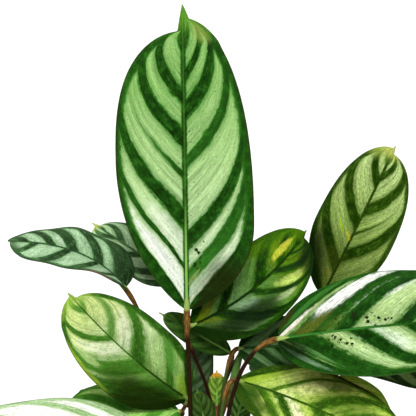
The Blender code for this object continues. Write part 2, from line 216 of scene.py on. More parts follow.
leaves = {
    "tall_centre": leaf(
        "front_left", (-9, -8, 197), (-11, 8, 347), (0.03, -1, 0.1), 68,
        half(widest=0.5, shoulder=0.915, fullness=2.8, taper=0.8, drip=0.10),
        half(widest=0.28, shoulder=0.955, drip=0.20),
        arch=(3, 5), fold=(7, 7),
    ),
    "left_drooping": leaf(
        "left", (-40, 4, 204.5), (-97.3, -3, 231), (0.1, -0.5, 0.86), 42, half(0.72, 0.5, 0.985, 2.2, 0.42),
        half(0.72, 0.2, 1, 3.6, 0.34), arch=(16, 12), fold=(44, -12), twist=8,
    ),
    "left_back": leaf(
        "back", (-12, 20, 203), (-57.4, 35, 229.6), (-0.2, -0.4, 0.9), 30,
        half(shoulder=0.953), half(shoulder=0.927), arch=(4, 4), sway=(3, 3), fold=(8, 8),
    ),
    "left_front": leaf(
        "front_left", (-9, 4, 146), (-65.5, -40, 215.5), (-0.25, -0.85, 0.45), 44,
        half(shoulder=0.98, drip=0.22), half(shoulder=0.955, drip=0.14),
        arch=(5, 6), sway=(3, 3), fold=(8, 8),
    ),
    "low_left": leaf("front_left", (-27, -28, 140), (-160, -76, 120), (0, -0.45, 0.9), 54, arch=(22, 18)),
    "under_left": leaf("left", (-13, 4, 139), (-74, -20, 138), (0, -0.45, 0.9), 42, arch=(6, 10)),
    "small_back": leaf(
        "back", (13, 11, 168), (-23, 6, 191), (-0.2, -0.9, 0.4), 14,
        arch=(2, 3), fold=(8, 8), reach=(0.5, 0.1),
    ),
    "inner_left": leaf("left", (-10, 15, 139), (0, 19, 177), (0, -1, 0.2), 17, arch=(2, 2)),
    "right_upper": leaf(
        "right", (60, 26, 194), (95, 20, 273.5), (-0.25, -0.95, 0.1), 42,
        half(widest=0.45, shoulder=0.985), half(widest=0.45, shoulder=0.955),
        arch=(5, 5), sway=(-1, -1), reach=(0.5, 0.3),
    ),
    "right_middle": leaf(
        "centre", (-7, 0, 186), (51, 20, 230), (0.15, -0.85, 0.5), 40,
        half(shoulder=0.985), half(shoulder=0.95),
        arch=(5, 5), sway=(-8, -8), fold=(8, 8), reach=(0.5, 0.15),
    ),
    "right_large": leaf(
        "front_right", (36, -18, 185), (160, -36, 202), (0, -0.75, 0.65), 56,
        half(taper=0.5), half(taper=0.5), arch=(7, 7), fold=(14, 14),
    ),
    "right_under": leaf(
        "centre", (17, 9, 171), (84, 14, 169), (0, -0.8, 0.6), 33, half(taper=0.5), half(taper=0.5),
        fold=(8, 8), reach=(0.5, 0.12),
    ),
    "right_front": leaf(
        "front_right", (16, -8, 160), (101.5, -54, 134.5), (0.1, -0.6, 0.8), 46,
        arch=(8, 9), reach=(0.5, 0.2),
    ),
    "right_low_back": leaf(
        "right", (62, 16, 151), (94, 4, 123), (0, -0.7, 0.7), 28, arch=(6, 8), reach=(0.25, 0.3),
    ),
    "far_right": leaf("back", (44, 34, 175), (128, 28, 144), (0, -0.7, 0.75), 30, arch=(6, 8)),
    "young_centre": leaf("centre", (6, 11, 140), (6, 13, 158), (0, -1, 0.2), 10, arch=(1, 1), fold=(16, 16)),
    "young_left": leaf(
        "front_left", (1, -5, 132), (-4, -7, 155), (0, -1, 0.3), 13, arch=(1, 1), fold=(16, 16),
    ),
    "young_right": leaf("right", (16, 5, 134), (21, 7, 154), (0, -1, 0.3), 14, arch=(1, 1), fold=(12, 12)),
    "back_tall": leaf("back", (-3, 34, 191), (-7, 50, 290), (0, 1, 0.15), 48, arch=(4, 6), fold=(8, 8)),
    "back_left_low": leaf("left", (-25, 30, 142), (-58, 95, 106), (-0.3, 0.6, 0.8), 46, arch=(10, 12)),
    "back_right_low": leaf("right", (30, 38, 146), (70, 98, 108), (0.3, 0.6, 0.8), 46, arch=(10, 12)),
    "back_centre_low": leaf("back", (-4, 46, 134), (0, 118, 94), (0, 0.6, 0.8), 42, arch=(10, 12)),
    "low_front": leaf("front_right", (2, -36, 126), (8, -118, 104), (0, -0.4, 1), 48, arch=(12, 14)),
    "low_right_front": leaf(
        "front_right", (34, -28, 130), (112, -76, 106), (0.2, -0.3, 1), 46, arch=(10, 12),
    ),
    "low_right": leaf("right", (42, 0, 118), (122, 16, 92), (0.3, 0.1, 1), 46, arch=(12, 10)),
}
spike = leaf("centre", (12.5, 15.5, 145), (20.5, 14.5, 176), (0, -1, 0), 12)
soilTop = 98
blade = dict(
    dripStart=0.84, dripFull=0.88, dripPower=0.8, dripBlend=2.5, leastHalf=0.35, camber=0.1, crowding=0.11,
    thickness=0.45, veinStart=0.23, veinBend=0.10, flatFrom=0.97,
)


def halfWidth(side, s):
    # The width of this half at share s of the blade's length, as a share of half the leaf's width
    if s < side["widest"]:
        return side["share"] * max(0.0, 1 - (1 - s / side["widest"]) ** 2) ** side["taper"]
    fall = min(1.0, (s - side["widest"]) / (side["shoulder"] - side["widest"]))
    body = max(0.0, 1 - fall ** side["fullness"]) ** 0.5
    start, full = blade["dripStart"], blade["dripFull"]
    rise = min(1.0, max(0.0, (s - start) / (full - start)))
    drip = side["drip"] * rise * ((1 - s) / (1 - full)) ** blade["dripPower"]
    blend = blade["dripBlend"]
    return side["share"] * (body**blend + drip**blend) ** (1 / blend)


def halfWidthMm(spec, s, across):
    side = spec["left" if across > 0 else "right"]
    return max(spec["width"] / 2 * halfWidth(side, s), blade["leastHalf"])


def bezier(points, t):
    a, b, c, d = points
    u = 1 - t
    return a * u**3 + b * (3 * u * u * t) + c * (3 * u * t * t) + d * t**3


def bezierDirection(points, t):
    a, b, c, d = points
    u = 1 - t
    return ((b - a) * (u * u) + (c - b) * (2 * u * t) + (d - c) * (t * t)).normalized()


def bladeMatrix(spec):
    along = (spec["tip"] - spec["base"]).normalized()
    up = (spec["face"] - along * spec["face"].dot(along)).normalized()
    side = up.cross(along)
    return Matrix.Translation(spec["base"] * mm) @ Matrix((along, side, up)).transposed().to_4x4()


def midrib(spec):
    chord = spec["length"]
    near = Vector((chord / 3, spec["sway"][0], spec["arch"][0]))
    far = Vector((chord * 2 / 3, spec["sway"][1], spec["arch"][1]))
    return [point * mm for point in (Vector((0, 0, 0)), near, far, Vector((chord, 0, 0)))]


def veinSweep(spec, look):  # how far the side veins run forward, as a share of the blade's length
    return look["sweep"] * spec["width"] / spec["length"]


def veinShare(spec, look, s, across):
    # Where on the midrib the side vein starts that runs through this point: it hooks forward near the margin
    v = abs(across)
    hook = look["hook"][0 if across > 0 else 1]
    return s - veinSweep(spec, look) * (blade["veinStart"] * v + blade["veinBend"] * v**3 + hook * v**8)


def bladePoint(spec, s, across, look):
    curve = midrib(spec)
    along = bezierDirection(curve, s)
    side = Vector((0, 0, 1)).cross(along).normalized()
    side = Matrix.Rotation(math.radians(spec["twist"] * s), 3, along) @ side
    up = along.cross(side)
    v = abs(across)
    width = halfWidthMm(spec, s, across) * mm
    out = width * v
    fold = math.radians(spec["fold"][0] * (1 - s) + spec["fold"][1] * s)
    rise = out * math.sin(fold) - blade["camber"] * width * v * v
    fade = math.sin(math.pi * min(1.0, s / blade["flatFrom"]))
    pleats = veinShare(spec, look, s, across) * spec["length"] / look["pleat"]
    pleat = math.sin(2 * math.pi * pleats) * look["pleatHeight"]
    wave = math.sin(2 * math.pi * (s * look["waves"] + look["seed"] * 0.37 + (0.5 if across > 0 else 0)))
    rise += fade * (pleat * math.sin(math.pi * v) ** 0.5 + wave * look["waveHeight"] * v**3) * mm
    return bezier(curve, s) + side * math.copysign(out * math.cos(fold), across) + up * rise


def rowPlace(x):  # rows lie closer at the base and at the drip tip
    return x - blade["crowding"] * math.sin(2 * math.pi * x) if x < 1 else 1.0


# Leaf blades: the upper side carries the fishbone pattern, the underside is wine red

usualBorder = ((0, 0.4), (0.1, 0.28), (0.22, 0.16), (0.45, 0.1), (0.7, 0.08), (0.86, 0.13), (0.95, 0.3))
commonLook = dict(
    pale="#a9d27f", white="#e3f0d0", mid="#3f8a2a", dark="#1d4c0c", darker="#123605", border="#33300f",
    line="#8fc65c", lineEnd=0.45, tip="#5f9628",
    left=((0.17, 0.045), (0.38, 0.045), (0.60, 0.04), (0.80, 0.035)),
    right=((0.08, 0.045), (0.28, 0.045), (0.50, 0.042), (0.71, 0.035), (0.86, 0.02)),
    leftBorder=usualBorder, rightBorder=usualBorder, sweep=2.24, hook=(0.05, 0.05), baseEdge=-0.03, rib=0.5,
    streaks=0.22, ragged=1.0, mottle=0.4, grainy=1.25, veins=0.25, ground=(), over=(), paintedShadeAndTint=(), scars=(),
    vivid=1.0, light=1.0, hairs=1.3, patchy=0.0, gloss=0.5, specular=0.03, seed=1, pleat=9,
    pleatHeight=0.22, waves=2.6, waveHeight=0.9, rows=84, columns=36,
)
# Bands, from the base: where each starts on the midrib, its half width and its depth, and, where the band
# changes on its way out, its half width and depth at the margin
# Borders: how wide the dark margin is, from base to tip
# Marks: place along and across, reach along and across, colour and strength. Those on the ground lie under
# the bands, those over them are ragged along the veins, soft ones are painted shade where dark and a plain
# tint where light, and scars are specks in loose groups
leafLooks = {
    "tall_centre": dict(
        pale=((0.1, "#e6f1d6"), (0.3, "#c4e0a4"), (0.5, "#abd286"), (0.72, "#8bbb64"), (0.9, "#93c26b")),
        dark="#1b480b", darker="#0f2f04", mid="#3a7f25",
        left=(
            (0.135, 0.010, 1, 0.026, 0.9), (0.30, 0.036), (0.445, 0.012, 1, 0.001, 0), (0.565, 0.032),
            (0.70, 0.028), (0.87, 0.03, 1, 0.001, 0),
        ),
        right=(
            (0.095, 0.032, 0.45, 0.045, 0.95), (0.225, 0.034), (0.485, 0.022, 0.7, 0.038, 1), (0.65, 0.034),
            (0.765, 0.022), (0.87, 0.025, 1, 0.001, 0),
        ),
        leftBorder=(
            (0, 0.5), (0.1, 0.34), (0.2, 0.18), (0.3, 0.1), (0.45, 0.08), (0.62, 0.07), (0.75, 0.1),
            (0.85, 0.24), (0.92, 0.4),
        ),
        rightBorder=(
            (0, 0.62), (0.06, 0.6), (0.12, 0.44), (0.2, 0.2), (0.35, 0.12), (0.5, 0.14), (0.65, 0.11),
            (0.75, 0.12), (0.85, 0.22), (0.92, 0.36),
        ),
        hook=(0.05, 0.12), rib=1.0, ragged=1.2,
        # The near-white first mark, low on the left half, is partly the silvery ground and partly a painted
        # highlight
        ground=(
            (0.11, 0.3, 0.07, 0.6, "#f7fcef", 0.95), (0.24, 0.2, 0.06, 0.4, "#e6f3d6", 0.8),
            (0.02, -0.2, 0.03, 0.5, "#f0eed6", 0.8), (0.17, -0.2, 0.08, 0.35, "#d6ecba", 0.85),
        ),
        over=((0.095, -0.3, 0.03, 0.3, "#57833a", 0.5), (0.11, -0.14, 0.012, 0.1, "#a3ad62", 0.45)),
        # Soft marks: a yellow-green tint by the right shoulder, and painted shade over the foot of the right
        # half
        paintedShadeAndTint=((0.91, -0.6, 0.04, 0.3, "#a5b75c", 0.4), (0.05, -0.8, 0.14, 0.5, "#1d2408", 0.85)),
        scars=((0.19, -0.14, 0.13, 0.24, "#26300c", 0.38), (0.5, -0.1, 0.4, 0.25, "#26300c", 0.14)),
        light=1.03, hairs=0.7, patchy=0.08, lineEnd=0.3, seed=3, rows=150, columns=56, pleatHeight=0.25,
    ),
    "left_drooping": dict(
        pale="#a6c79c", white="#d3e6cb", mid="#5f8f58", dark="#2f4c29", darker="#22391c", border="#2a4425",
        line="#31512c", seed=5,
        left=((0.13, 0.02, 0.9), (0.30, 0.02, 1, 0.05, 1), (0.55, 0.03, 1, 0.06, 1), (0.80, 0.03)),
        right=((0.05, 0.09), (0.285, 0.05), (0.51, 0.05), (0.68, 0.04), (0.88, 0.04)), sweep=0.9,
        tip="#3b5c33", ground=((0.6, -0.3, 0.05, 0.3, "#d6e6ca", 0.8),),
        over=((0.3, 0.97, 0.1, 0.08, "#a8606a", 0.7),),
    ),
    "left_back": dict(
        pale="#b2d8a2", white="#cfe6c2", mid="#6d9c62", dark="#3e6438", darker="#2e4d2b", border="#2c4728",
        tip="#c2cf63", seed=7, leftBorder=((0, 0.2), (0.2, 0.06), (0.9, 0.1)),
        rightBorder=((0, 0.2), (0.2, 0.06), (0.9, 0.1)), light=1.15,
        left=((0.15, 0.06), (0.45, 0.05), (0.75, 0.05)),
        right=((0.10, 0.06), (0.38, 0.05), (0.66, 0.05), (0.86, 0.03)),
    ),
    "left_front": dict(
        pale=((0.05, "#aad23e"), (0.2, "#b0d87e"), (0.45, "#c2e096"), (0.6, "#e2f0bc"), (0.85, "#dcec96")),
        white="#f2f9d6", mid="#5b9634", dark="#2d591a", darker="#204611", border="#2a4a15", line="#2a4a14",
        light=1.17, vivid=1.02,
        left=(
            (0.14, 0.12, 0.8), (0.40, 0.07, 0.6, 0.06, 0.55), (0.655, 0.02, 0.6, 0.03, 0.8),
            (0.87, 0.025, 0.5),
        ),
        right=(
            (0.155, 0.032, 0.7, 0.045, 0.4), (0.43, 0.058, 0.85, 0.036, 0.8),
            (0.655, 0.025, 0.4, 0.03, 0.3), (0.87, 0.02, 0.4),
        ),
        rightBorder=((0, 0.2), (0.2, 0.2), (0.3, 0.2), (0.6, 0.14), (0.8, 0.1), (0.9, 0.2)),
        ground=(
            (0.4, 0.3, 0.13, 0.5, "#76934a", 0.9), (0.64, 0.3, 0.05, 0.4, "#f2f9d2", 0.9),
            (0.62, -0.3, 0.05, 0.4, "#f4fad2", 0.9),
        ),
        # The first ragged mark is painted shade over the lower part of the left half
        over=(
            (0.16, 0.8, 0.2, 0.4, "#142608", 0.8), (0.08, -0.3, 0.06, 0.3, "#a2cc44", 0.8),
            (0.66, 0.72, 0.06, 0.12, "#b5d486", 0.8), (0.3, -0.62, 0.08, 0.25, "#6cb04a", 0.6),
            (0.62, 0.97, 0.2, 0.07, "#b9d24c", 0.5),
        ),
        # Soft mark: painted shade over the lower part of the left half
        paintedShadeAndTint=((0.16, 0.65, 0.42, 0.55, "#1d2e09", 0.9),), tip="#9cc24c", rib=0.25, veins=0.4, ragged=2.0,
        mottle=0.8, patchy=0.35, grainy=1.3, seed=11,
    ),
    "low_left": dict(
        # Nearly white: partly the leaf's pale ground and partly a painted highlight where it faces the
        # overhead light
        pale=((0.35, "#f8fbf1"), (0.65, "#dfedcc"), (1, "#cbe0b1")), white="#fffffd", mid="#c4d9ae",
        dark="#a6c68c", darker="#8cb271", border="#6b8350", seed=13, gloss=0.35, specular=0.15,
        left=((0.2, 0.025, 0.8), (0.46, 0.025, 0.8), (0.7, 0.025, 0.8), (0.86, 0.02)),
        right=((0.1, 0.03), (0.34, 0.03), (0.6, 0.03), (0.8, 0.03)),
        leftBorder=((0, 0.3), (0.1, 0.06), (0.3, 0.03), (0.8, 0.03), (0.95, 0.2)),
        rightBorder=((0, 0.3), (0.1, 0.1), (0.8, 0.05), (0.95, 0.2)), ragged=2.0, veins=0.4, grainy=1.7,
        hairs=2.0, light=1.03,
    ),
    "under_left": dict(
        pale="#a2d46c", white="#c2e596", mid="#67ac38", dark="#458a26", darker="#37781c", border="#2c4e18",
        seed=17, left=((0.18, 0.06, 0.7), (0.5, 0.05, 0.7), (0.78, 0.04, 0.6)),
        right=((0.12, 0.06), (0.42, 0.06), (0.7, 0.05)),
    ),
    "small_back": dict(
        pale="#47702a", white="#56803a", mid="#3c6420", dark="#33581a", darker="#284a12", border="#203a14",
        veins=0.1, seed=19,
    ),
    "inner_left": dict(
        pale="#54704a", white="#668458", mid="#46633a", dark="#385430", darker="#2c4625", border="#1e3a12",
        veins=0.1, seed=23,
    ),
    "right_upper": dict(
        pale=((0, "#66812f"), (0.5, "#a2c066"), (1, "#dcf8a4")), white="#e6f6b8", mid="#5c8030",
        dark="#30530e", darker="#1f3c06", border="#26400e", line="#22380c", vivid=1.04, light=0.745,
        left=((0.20, 0.05), (0.49, 0.04, 1, 0.05, 1), (0.76, 0.035), (0.885, 0.015, 0.6)),
        right=((0.275, 0.05), (0.43, 0.012, 1, 0.001, 0), (0.585, 0.045), (0.80, 0.03), (0.89, 0.02, 0.6)),
        ground=((0.13, 0.12, 0.04, 0.15, "#a3a24a", 0.8),),
        over=((0.41, 0.1, 0.02, 0.1, "#c9c83c", 0.7), (0.45, 0.35, 0.012, 0.12, "#b5dc3c", 0.8)),
        # Soft marks: painted shade over the base of the left half, an olive tint over the lower blade, and
        # the tip's yellow-green
        paintedShadeAndTint=(
            (0.1, 0.85, 0.35, 0.55, "#122606", 0.9), (0.2, 0.2, 0.15, 0.4, "#5d6a24", 0.3),
            (0.99, 0, 0.06, 1.2, "#d3dc74", 0.8),
        ),
        tip="#a5bf58", ragged=1.4, seed=29,
    ),
    "right_middle": dict(
        pale=((0, "#5f8034"), (0.3, "#7b9c68"), (0.55, "#6a984c"), (0.75, "#6c8c26"), (1, "#4d761c")),
        white="#a3bd76", mid="#33621a", dark="#1b3d0a", darker="#0c2403", border="#1c380e", line="#10240a",
        vivid=1.1, light=0.85,
        left=((0.215, 0.045), (0.52, 0.05, 0.95), (0.72, 0.03, 0.75), (0.9, 0.03, 0.8)),
        right=((0.195, 0.05), (0.45, 0.028, 0.9), (0.655, 0.035, 0.85), (0.8, 0.015, 0.8), (0.9, 0.04)),
        leftBorder=((0, 0.3), (0.2, 0.1), (0.6, 0.06), (0.9, 0.2)),
        ground=(
            (0.69, -0.5, 0.06, 0.25, "#c9de7c", 0.95), (0.34, -0.15, 0.1, 0.2, "#93b08c", 0.9),
            (0.3, 0.75, 0.2, 0.3, "#a5c47c", 0.9),
        ),
        over=(
            (0.80, 0.28, 0.10, 0.13, "#dbe062", 0.85), (0.13, 0.3, 0.08, 0.35, "#6f7e20", 0.7),
            (0.13, -0.15, 0.06, 0.2, "#5f6d18", 0.6), (0.6, -0.68, 0.05, 0.12, "#b9cf96", 0.8),
        ),
        # Soft marks: the three dark ones are painted shade, the first a painted shadow of the leaf above
        # across the right half; the last is a green tint by the left margin
        paintedShadeAndTint=(
            (0.35, -0.55, 0.25, 0.36, "#0a1e05", 0.9), (0.05, -0.7, 0.25, 0.6, "#142a08", 0.8),
            (0.89, -0.7, 0.15, 0.45, "#0b1f05", 0.85), (0.8, 0.8, 0.3, 0.3, "#47780f", 0.6),
        ),
        tip="#4c7814", ragged=2.2, mottle=0.8, grainy=1.5, patchy=0.35, seed=31,
    ),
    "right_large": dict(
        pale=((0.1, "#bccf84"), (0.3, "#b2cd84"), (1, "#aaca80")), white="#eff7e6", mid="#33701c",
        dark="#144408", darker="#0b2d04", border="#2a5a1a", line="#35782a", light=0.96,
        left=((0.115, 0.085, 0.85), (0.25, 0.04), (0.49, 0.035), (0.68, 0.035), (0.84, 0.03)),
        right=((0.07, 0.08, 0.95), (0.315, 0.04), (0.53, 0.035), (0.72, 0.03), (0.85, 0.03)),
        leftBorder=(
            (0, 0.5), (0.08, 0.3), (0.2, 0.06), (0.4, 0.06), (0.5, 0.14), (0.6, 0.06), (0.85, 0.12),
            (0.95, 0.3),
        ),
        # The first ground mark, near white, is partly the pale ground and partly a painted highlight
        ground=(
            (0.44, 0.7, 0.08, 0.26, "#f8fcf0", 0.95), (0.42, -0.25, 0.08, 0.3, "#d9ecca", 0.9),
            (0.42, -0.68, 0.1, 0.25, "#a2c47c", 0.8),
        ),
        # The first and third ragged marks, near white, are partly the pale ground and partly a painted
        # highlight
        over=(
            (0.28, 0.72, 0.055, 0.36, "#f1f5ea", 0.95), (0.12, 0.75, 0.04, 0.3, "#3f8230", 0.7),
            (0.045, 0.32, 0.026, 0.3, "#efe9d8", 0.95), (0.14, 0.22, 0.05, 0.26, "#5b641e", 0.65),
            (0.22, 0.15, 0.04, 0.15, "#4c6a1c", 0.5), (0.14, -0.5, 0.02, 0.3, "#5c8f4c", 0.7),
            (0.1, -0.72, 0.04, 0.2, "#6f946c", 0.8),
        ),
        # Soft marks: painted shade over the base of both halves
        paintedShadeAndTint=((0.03, 0.85, 0.05, 0.3, "#33340f", 0.85), (0.03, -0.5, 0.13, 0.45, "#0c1c04", 0.85)),
        scars=((0.36, 0.15, 0.25, 0.3, "#1b2408", 0.36), (0.25, -0.25, 0.25, 0.35, "#14280a", 0.34)),
        streaks=0.4, gloss=0.42, ragged=1.7, grainy=1.5, patchy=0.15, hairs=1.6, seed=37, rows=120,
        columns=48,
    ),
    "right_under": dict(
        pale="#5f8450", white="#86a06c", mid="#35602a", dark="#1a3c10", darker="#102a08", border="#12300c",
        line="#2a4a20", right=((0.12, 0.04), (0.29, 0.05), (0.49, 0.05), (0.68, 0.05), (0.84, 0.03)),
        ragged=1.3, seed=41,
    ),
    "right_front": dict(
        pale=((0, "#9dbb38"), (0.25, "#c6d870"), (0.45, "#bcd060"), (1, "#a2bf40")), white="#eef2a8",
        mid="#5c8a1c", dark="#2a4f0e", darker="#1e3c08", border="#4b4a1c", line="#2a4a12", light=1.09,
        left=((0.19, 0.018, 0.8), (0.435, 0.04, 0.95), (0.6, 0.03, 0.85), (0.78, 0.03, 0.7)),
        right=((0.12, 0.04, 0.6), (0.235, 0.032), (0.46, 0.045, 0.9), (0.66, 0.03, 0.8)),
        leftBorder=((0, 0.12), (0.2, 0.12), (0.45, 0.1), (0.85, 0.13), (0.95, 0.3)),
        ground=((0.32, 0.3, 0.08, 0.4, "#e4eb96", 0.9), (0.34, -0.25, 0.07, 0.3, "#f3f4c0", 0.95)),
        over=(
            (0.08, 0.3, 0.06, 0.5, "#8aab28", 0.7), (0.48, 1.0, 0.24, 0.08, "#3a2015", 0.9),
            (0.16, -0.3, 0.012, 0.2, "#d6e070", 0.8),
        ),
        # Soft marks: painted shade over the base of the right half and the middle of the left half, and a
        # brownish darkening near the left margin
        paintedShadeAndTint=(
            (0.1, -0.7, 0.22, 0.4, "#2c480e", 0.88), (0.42, 0.75, 0.15, 0.25, "#3f4a14", 0.6),
            (0.1, -0.3, 0.1, 0.35, "#26490c", 0.85), (0.6, 0.35, 0.18, 0.45, "#33580b", 0.6),
        ),
        ragged=3.2, mottle=1.0, grainy=1.8, veins=0.45, patchy=0.75, hairs=1.6, seed=43,
    ),
    "right_low_back": dict(
        # Bright yellow-green: partly the young leaf's own colour and partly painted light shining through
        # the blade
        pale="#d6f76a", white="#e6fb8c", mid="#c2ec50", dark="#aada3e", darker="#9ccc34", border="#7c9c2c",
        line="#cfea6c", seed=47,
    ),
    "far_right": dict(
        pale="#6e8d4c", white="#93ab6c", mid="#3f6428", dark="#233c17", darker="#1a3010", border="#22361a",
        seed=53,
    ),
    "young_centre": dict(
        pale="#8fae3f", white="#b0c95b", mid="#6f9535", dark="#557f28", darker="#47701f", border="#6f7a22",
        tip="#e5a53a", seed=59, paintedShadeAndTint=((1.02, 0, 0.24, 3, "#eaa838", 1.0),),
    ),
    "young_left": dict(
        pale="#47662a", white="#5a7a36", mid="#3a581e", dark="#304c18", darker="#263f12", border="#243a12",
        veins=0.1, seed=61,
    ),
    "young_right": dict(
        pale="#86b457", white="#a9ca75", mid="#4f8a35", dark="#3a7524", darker="#2f651c", border="#2f6a22",
        seed=67,
    ),
    "back_tall": dict(seed=71),
    "back_left_low": dict(seed=73, pale="#a5cc80"),
    "back_right_low": dict(seed=79, pale="#b9d893"),
    "back_centre_low": dict(seed=83),
    "low_front": dict(seed=89, pale="#bddb98", rows=100, columns=44),
    "low_right_front": dict(seed=97, pale="#aecf80", dark="#27521a"),
    "low_right": dict(seed=101, pale="#9ec67c"),
}


def bandStops(bands, baseEdge, outer):
    # Red peaks on a band's line and is one half at its half width, where its edge shows. Green is its depth
    lines = [(baseEdge - 0.03, 0.03, 1)]
    for band in bands:
        place, half, tone = (*band, 1)[:3]
        lines.append((place, *band[3:]) if outer and len(band) > 3 else (place, half, tone))
    stops = [(-0.3, (1, 1, 0))]
    for (place, half, tone), (nextPlace, nextHalf, nextTone) in zip(lines, lines[1:]):
        stops.append((place, (1, tone, 0)))
        end, start = place + 2 * half, nextPlace - 2 * nextHalf
        if end < start:
            stops += [(end, (0, tone, 0)), (start, (0, nextTone, 0))]
        else:
            meet = (place * nextHalf + nextPlace * half) / (half + nextHalf)
            stops.append((meet, (1 - (meet - place) / (2 * half), (tone + nextTone) / 2, 0)))
    stops += [(nextPlace, (1, nextTone, 0)), (nextPlace + 2 * nextHalf, (0, nextTone, 0))]
    return [((place + 0.3) / 1.3, value) for place, value in stops]


def bladeShares(add):
    # How far along the blade, from the right margin at -1 to the left one at 1, and out from the midrib
    s = add("SeparateXYZ", add("UVMap", uv_map="share"))
    across = add("MapRange", s.node.outputs[1], 0.0, 1.0, -1.0, 1.0)
    return s, across, add("Math", across, operation="ABSOLUTE")


def bladeRuler(add, spec, look):
    # Where a point of the blade lies: s along it, v out from the midrib as a share of the half width, out as
    # its distance over 100 mm, and vein, the place on the midrib where the side vein through it starts
    s, across, v = bladeShares(add)
    size = add("UVMap", uv_map="size")
    isLeft = add("Math", across, 0.0, operation="GREATER_THAN")
    out = add("Math", add("SeparateXYZ", size).node.outputs[1], operation="ABSOLUTE")
    cube = add("Math", v, 3.0, operation="POWER")
    eighth = add("Math", v, 8.0, operation="POWER")
    leftHook, rightHook = look["hook"]
    hook = add("MapRange", isLeft, 0.0, 1.0, rightHook, leftHook)
    curved = add("Math", v, blade["veinStart"], operation="MULTIPLY")
    curved = add("Math", cube, blade["veinBend"], curved, operation="MULTIPLY_ADD")
    curved = add("Math", eighth, hook, curved, operation="MULTIPLY_ADD")
    vein = add("Math", curved, -veinSweep(spec, look), s, operation="MULTIPLY_ADD")
    seeded = add("Mapping", size, (look["seed"] * 1.7, look["seed"] * 0.9, 0.0))
    return SimpleNamespace(
        s=s, across=across, v=v, isLeft=isLeft, out=out, cube=cube, vein=vein, seeded=seeded
    )


def bladeNoises(add, at, length, seed):
    # Blotches 12 mm across, clouds and grain. Broad bands, streaks 0.9 mm apart and hairs follow the veins
    along = add("Math", at.vein, length / 0.9, operation="MULTIPLY")
    across = add("Math", at.v, 3.0, operation="MULTIPLY")
    side = add("Math", at.isLeft, 40.0, float(seed), operation="MULTIPLY_ADD")
    broadAlong = add("Math", at.vein, length / 3.2, operation="MULTIPLY")
    hairAlong = add("Math", along, 2.3, operation="MULTIPLY")
    hairAcross = add("Math", across, 5.0, operation="MULTIPLY")
    kinds = dict(  # where each is read, its scale, detail and roughness
        blotch=(at.seeded, 8.0, 3.0, 0.6),
        cloud=(at.seeded, 22.0, 4.0, 0.65),
        grain=(at.seeded, 95.0, 3.0, 0.85),
        streak=(add("CombineXYZ", along, across, side), 1.0, 3.0, 0.8),
        broad=(add("CombineXYZ", broadAlong, at.v, side), 1.0, 2.0, 0.5),
        hair=(add("CombineXYZ", hairAlong, hairAcross, side), 1.0, 1.0, 0.5),
    )
    return {key: add("TexNoise", *values) for key, values in kinds.items()}


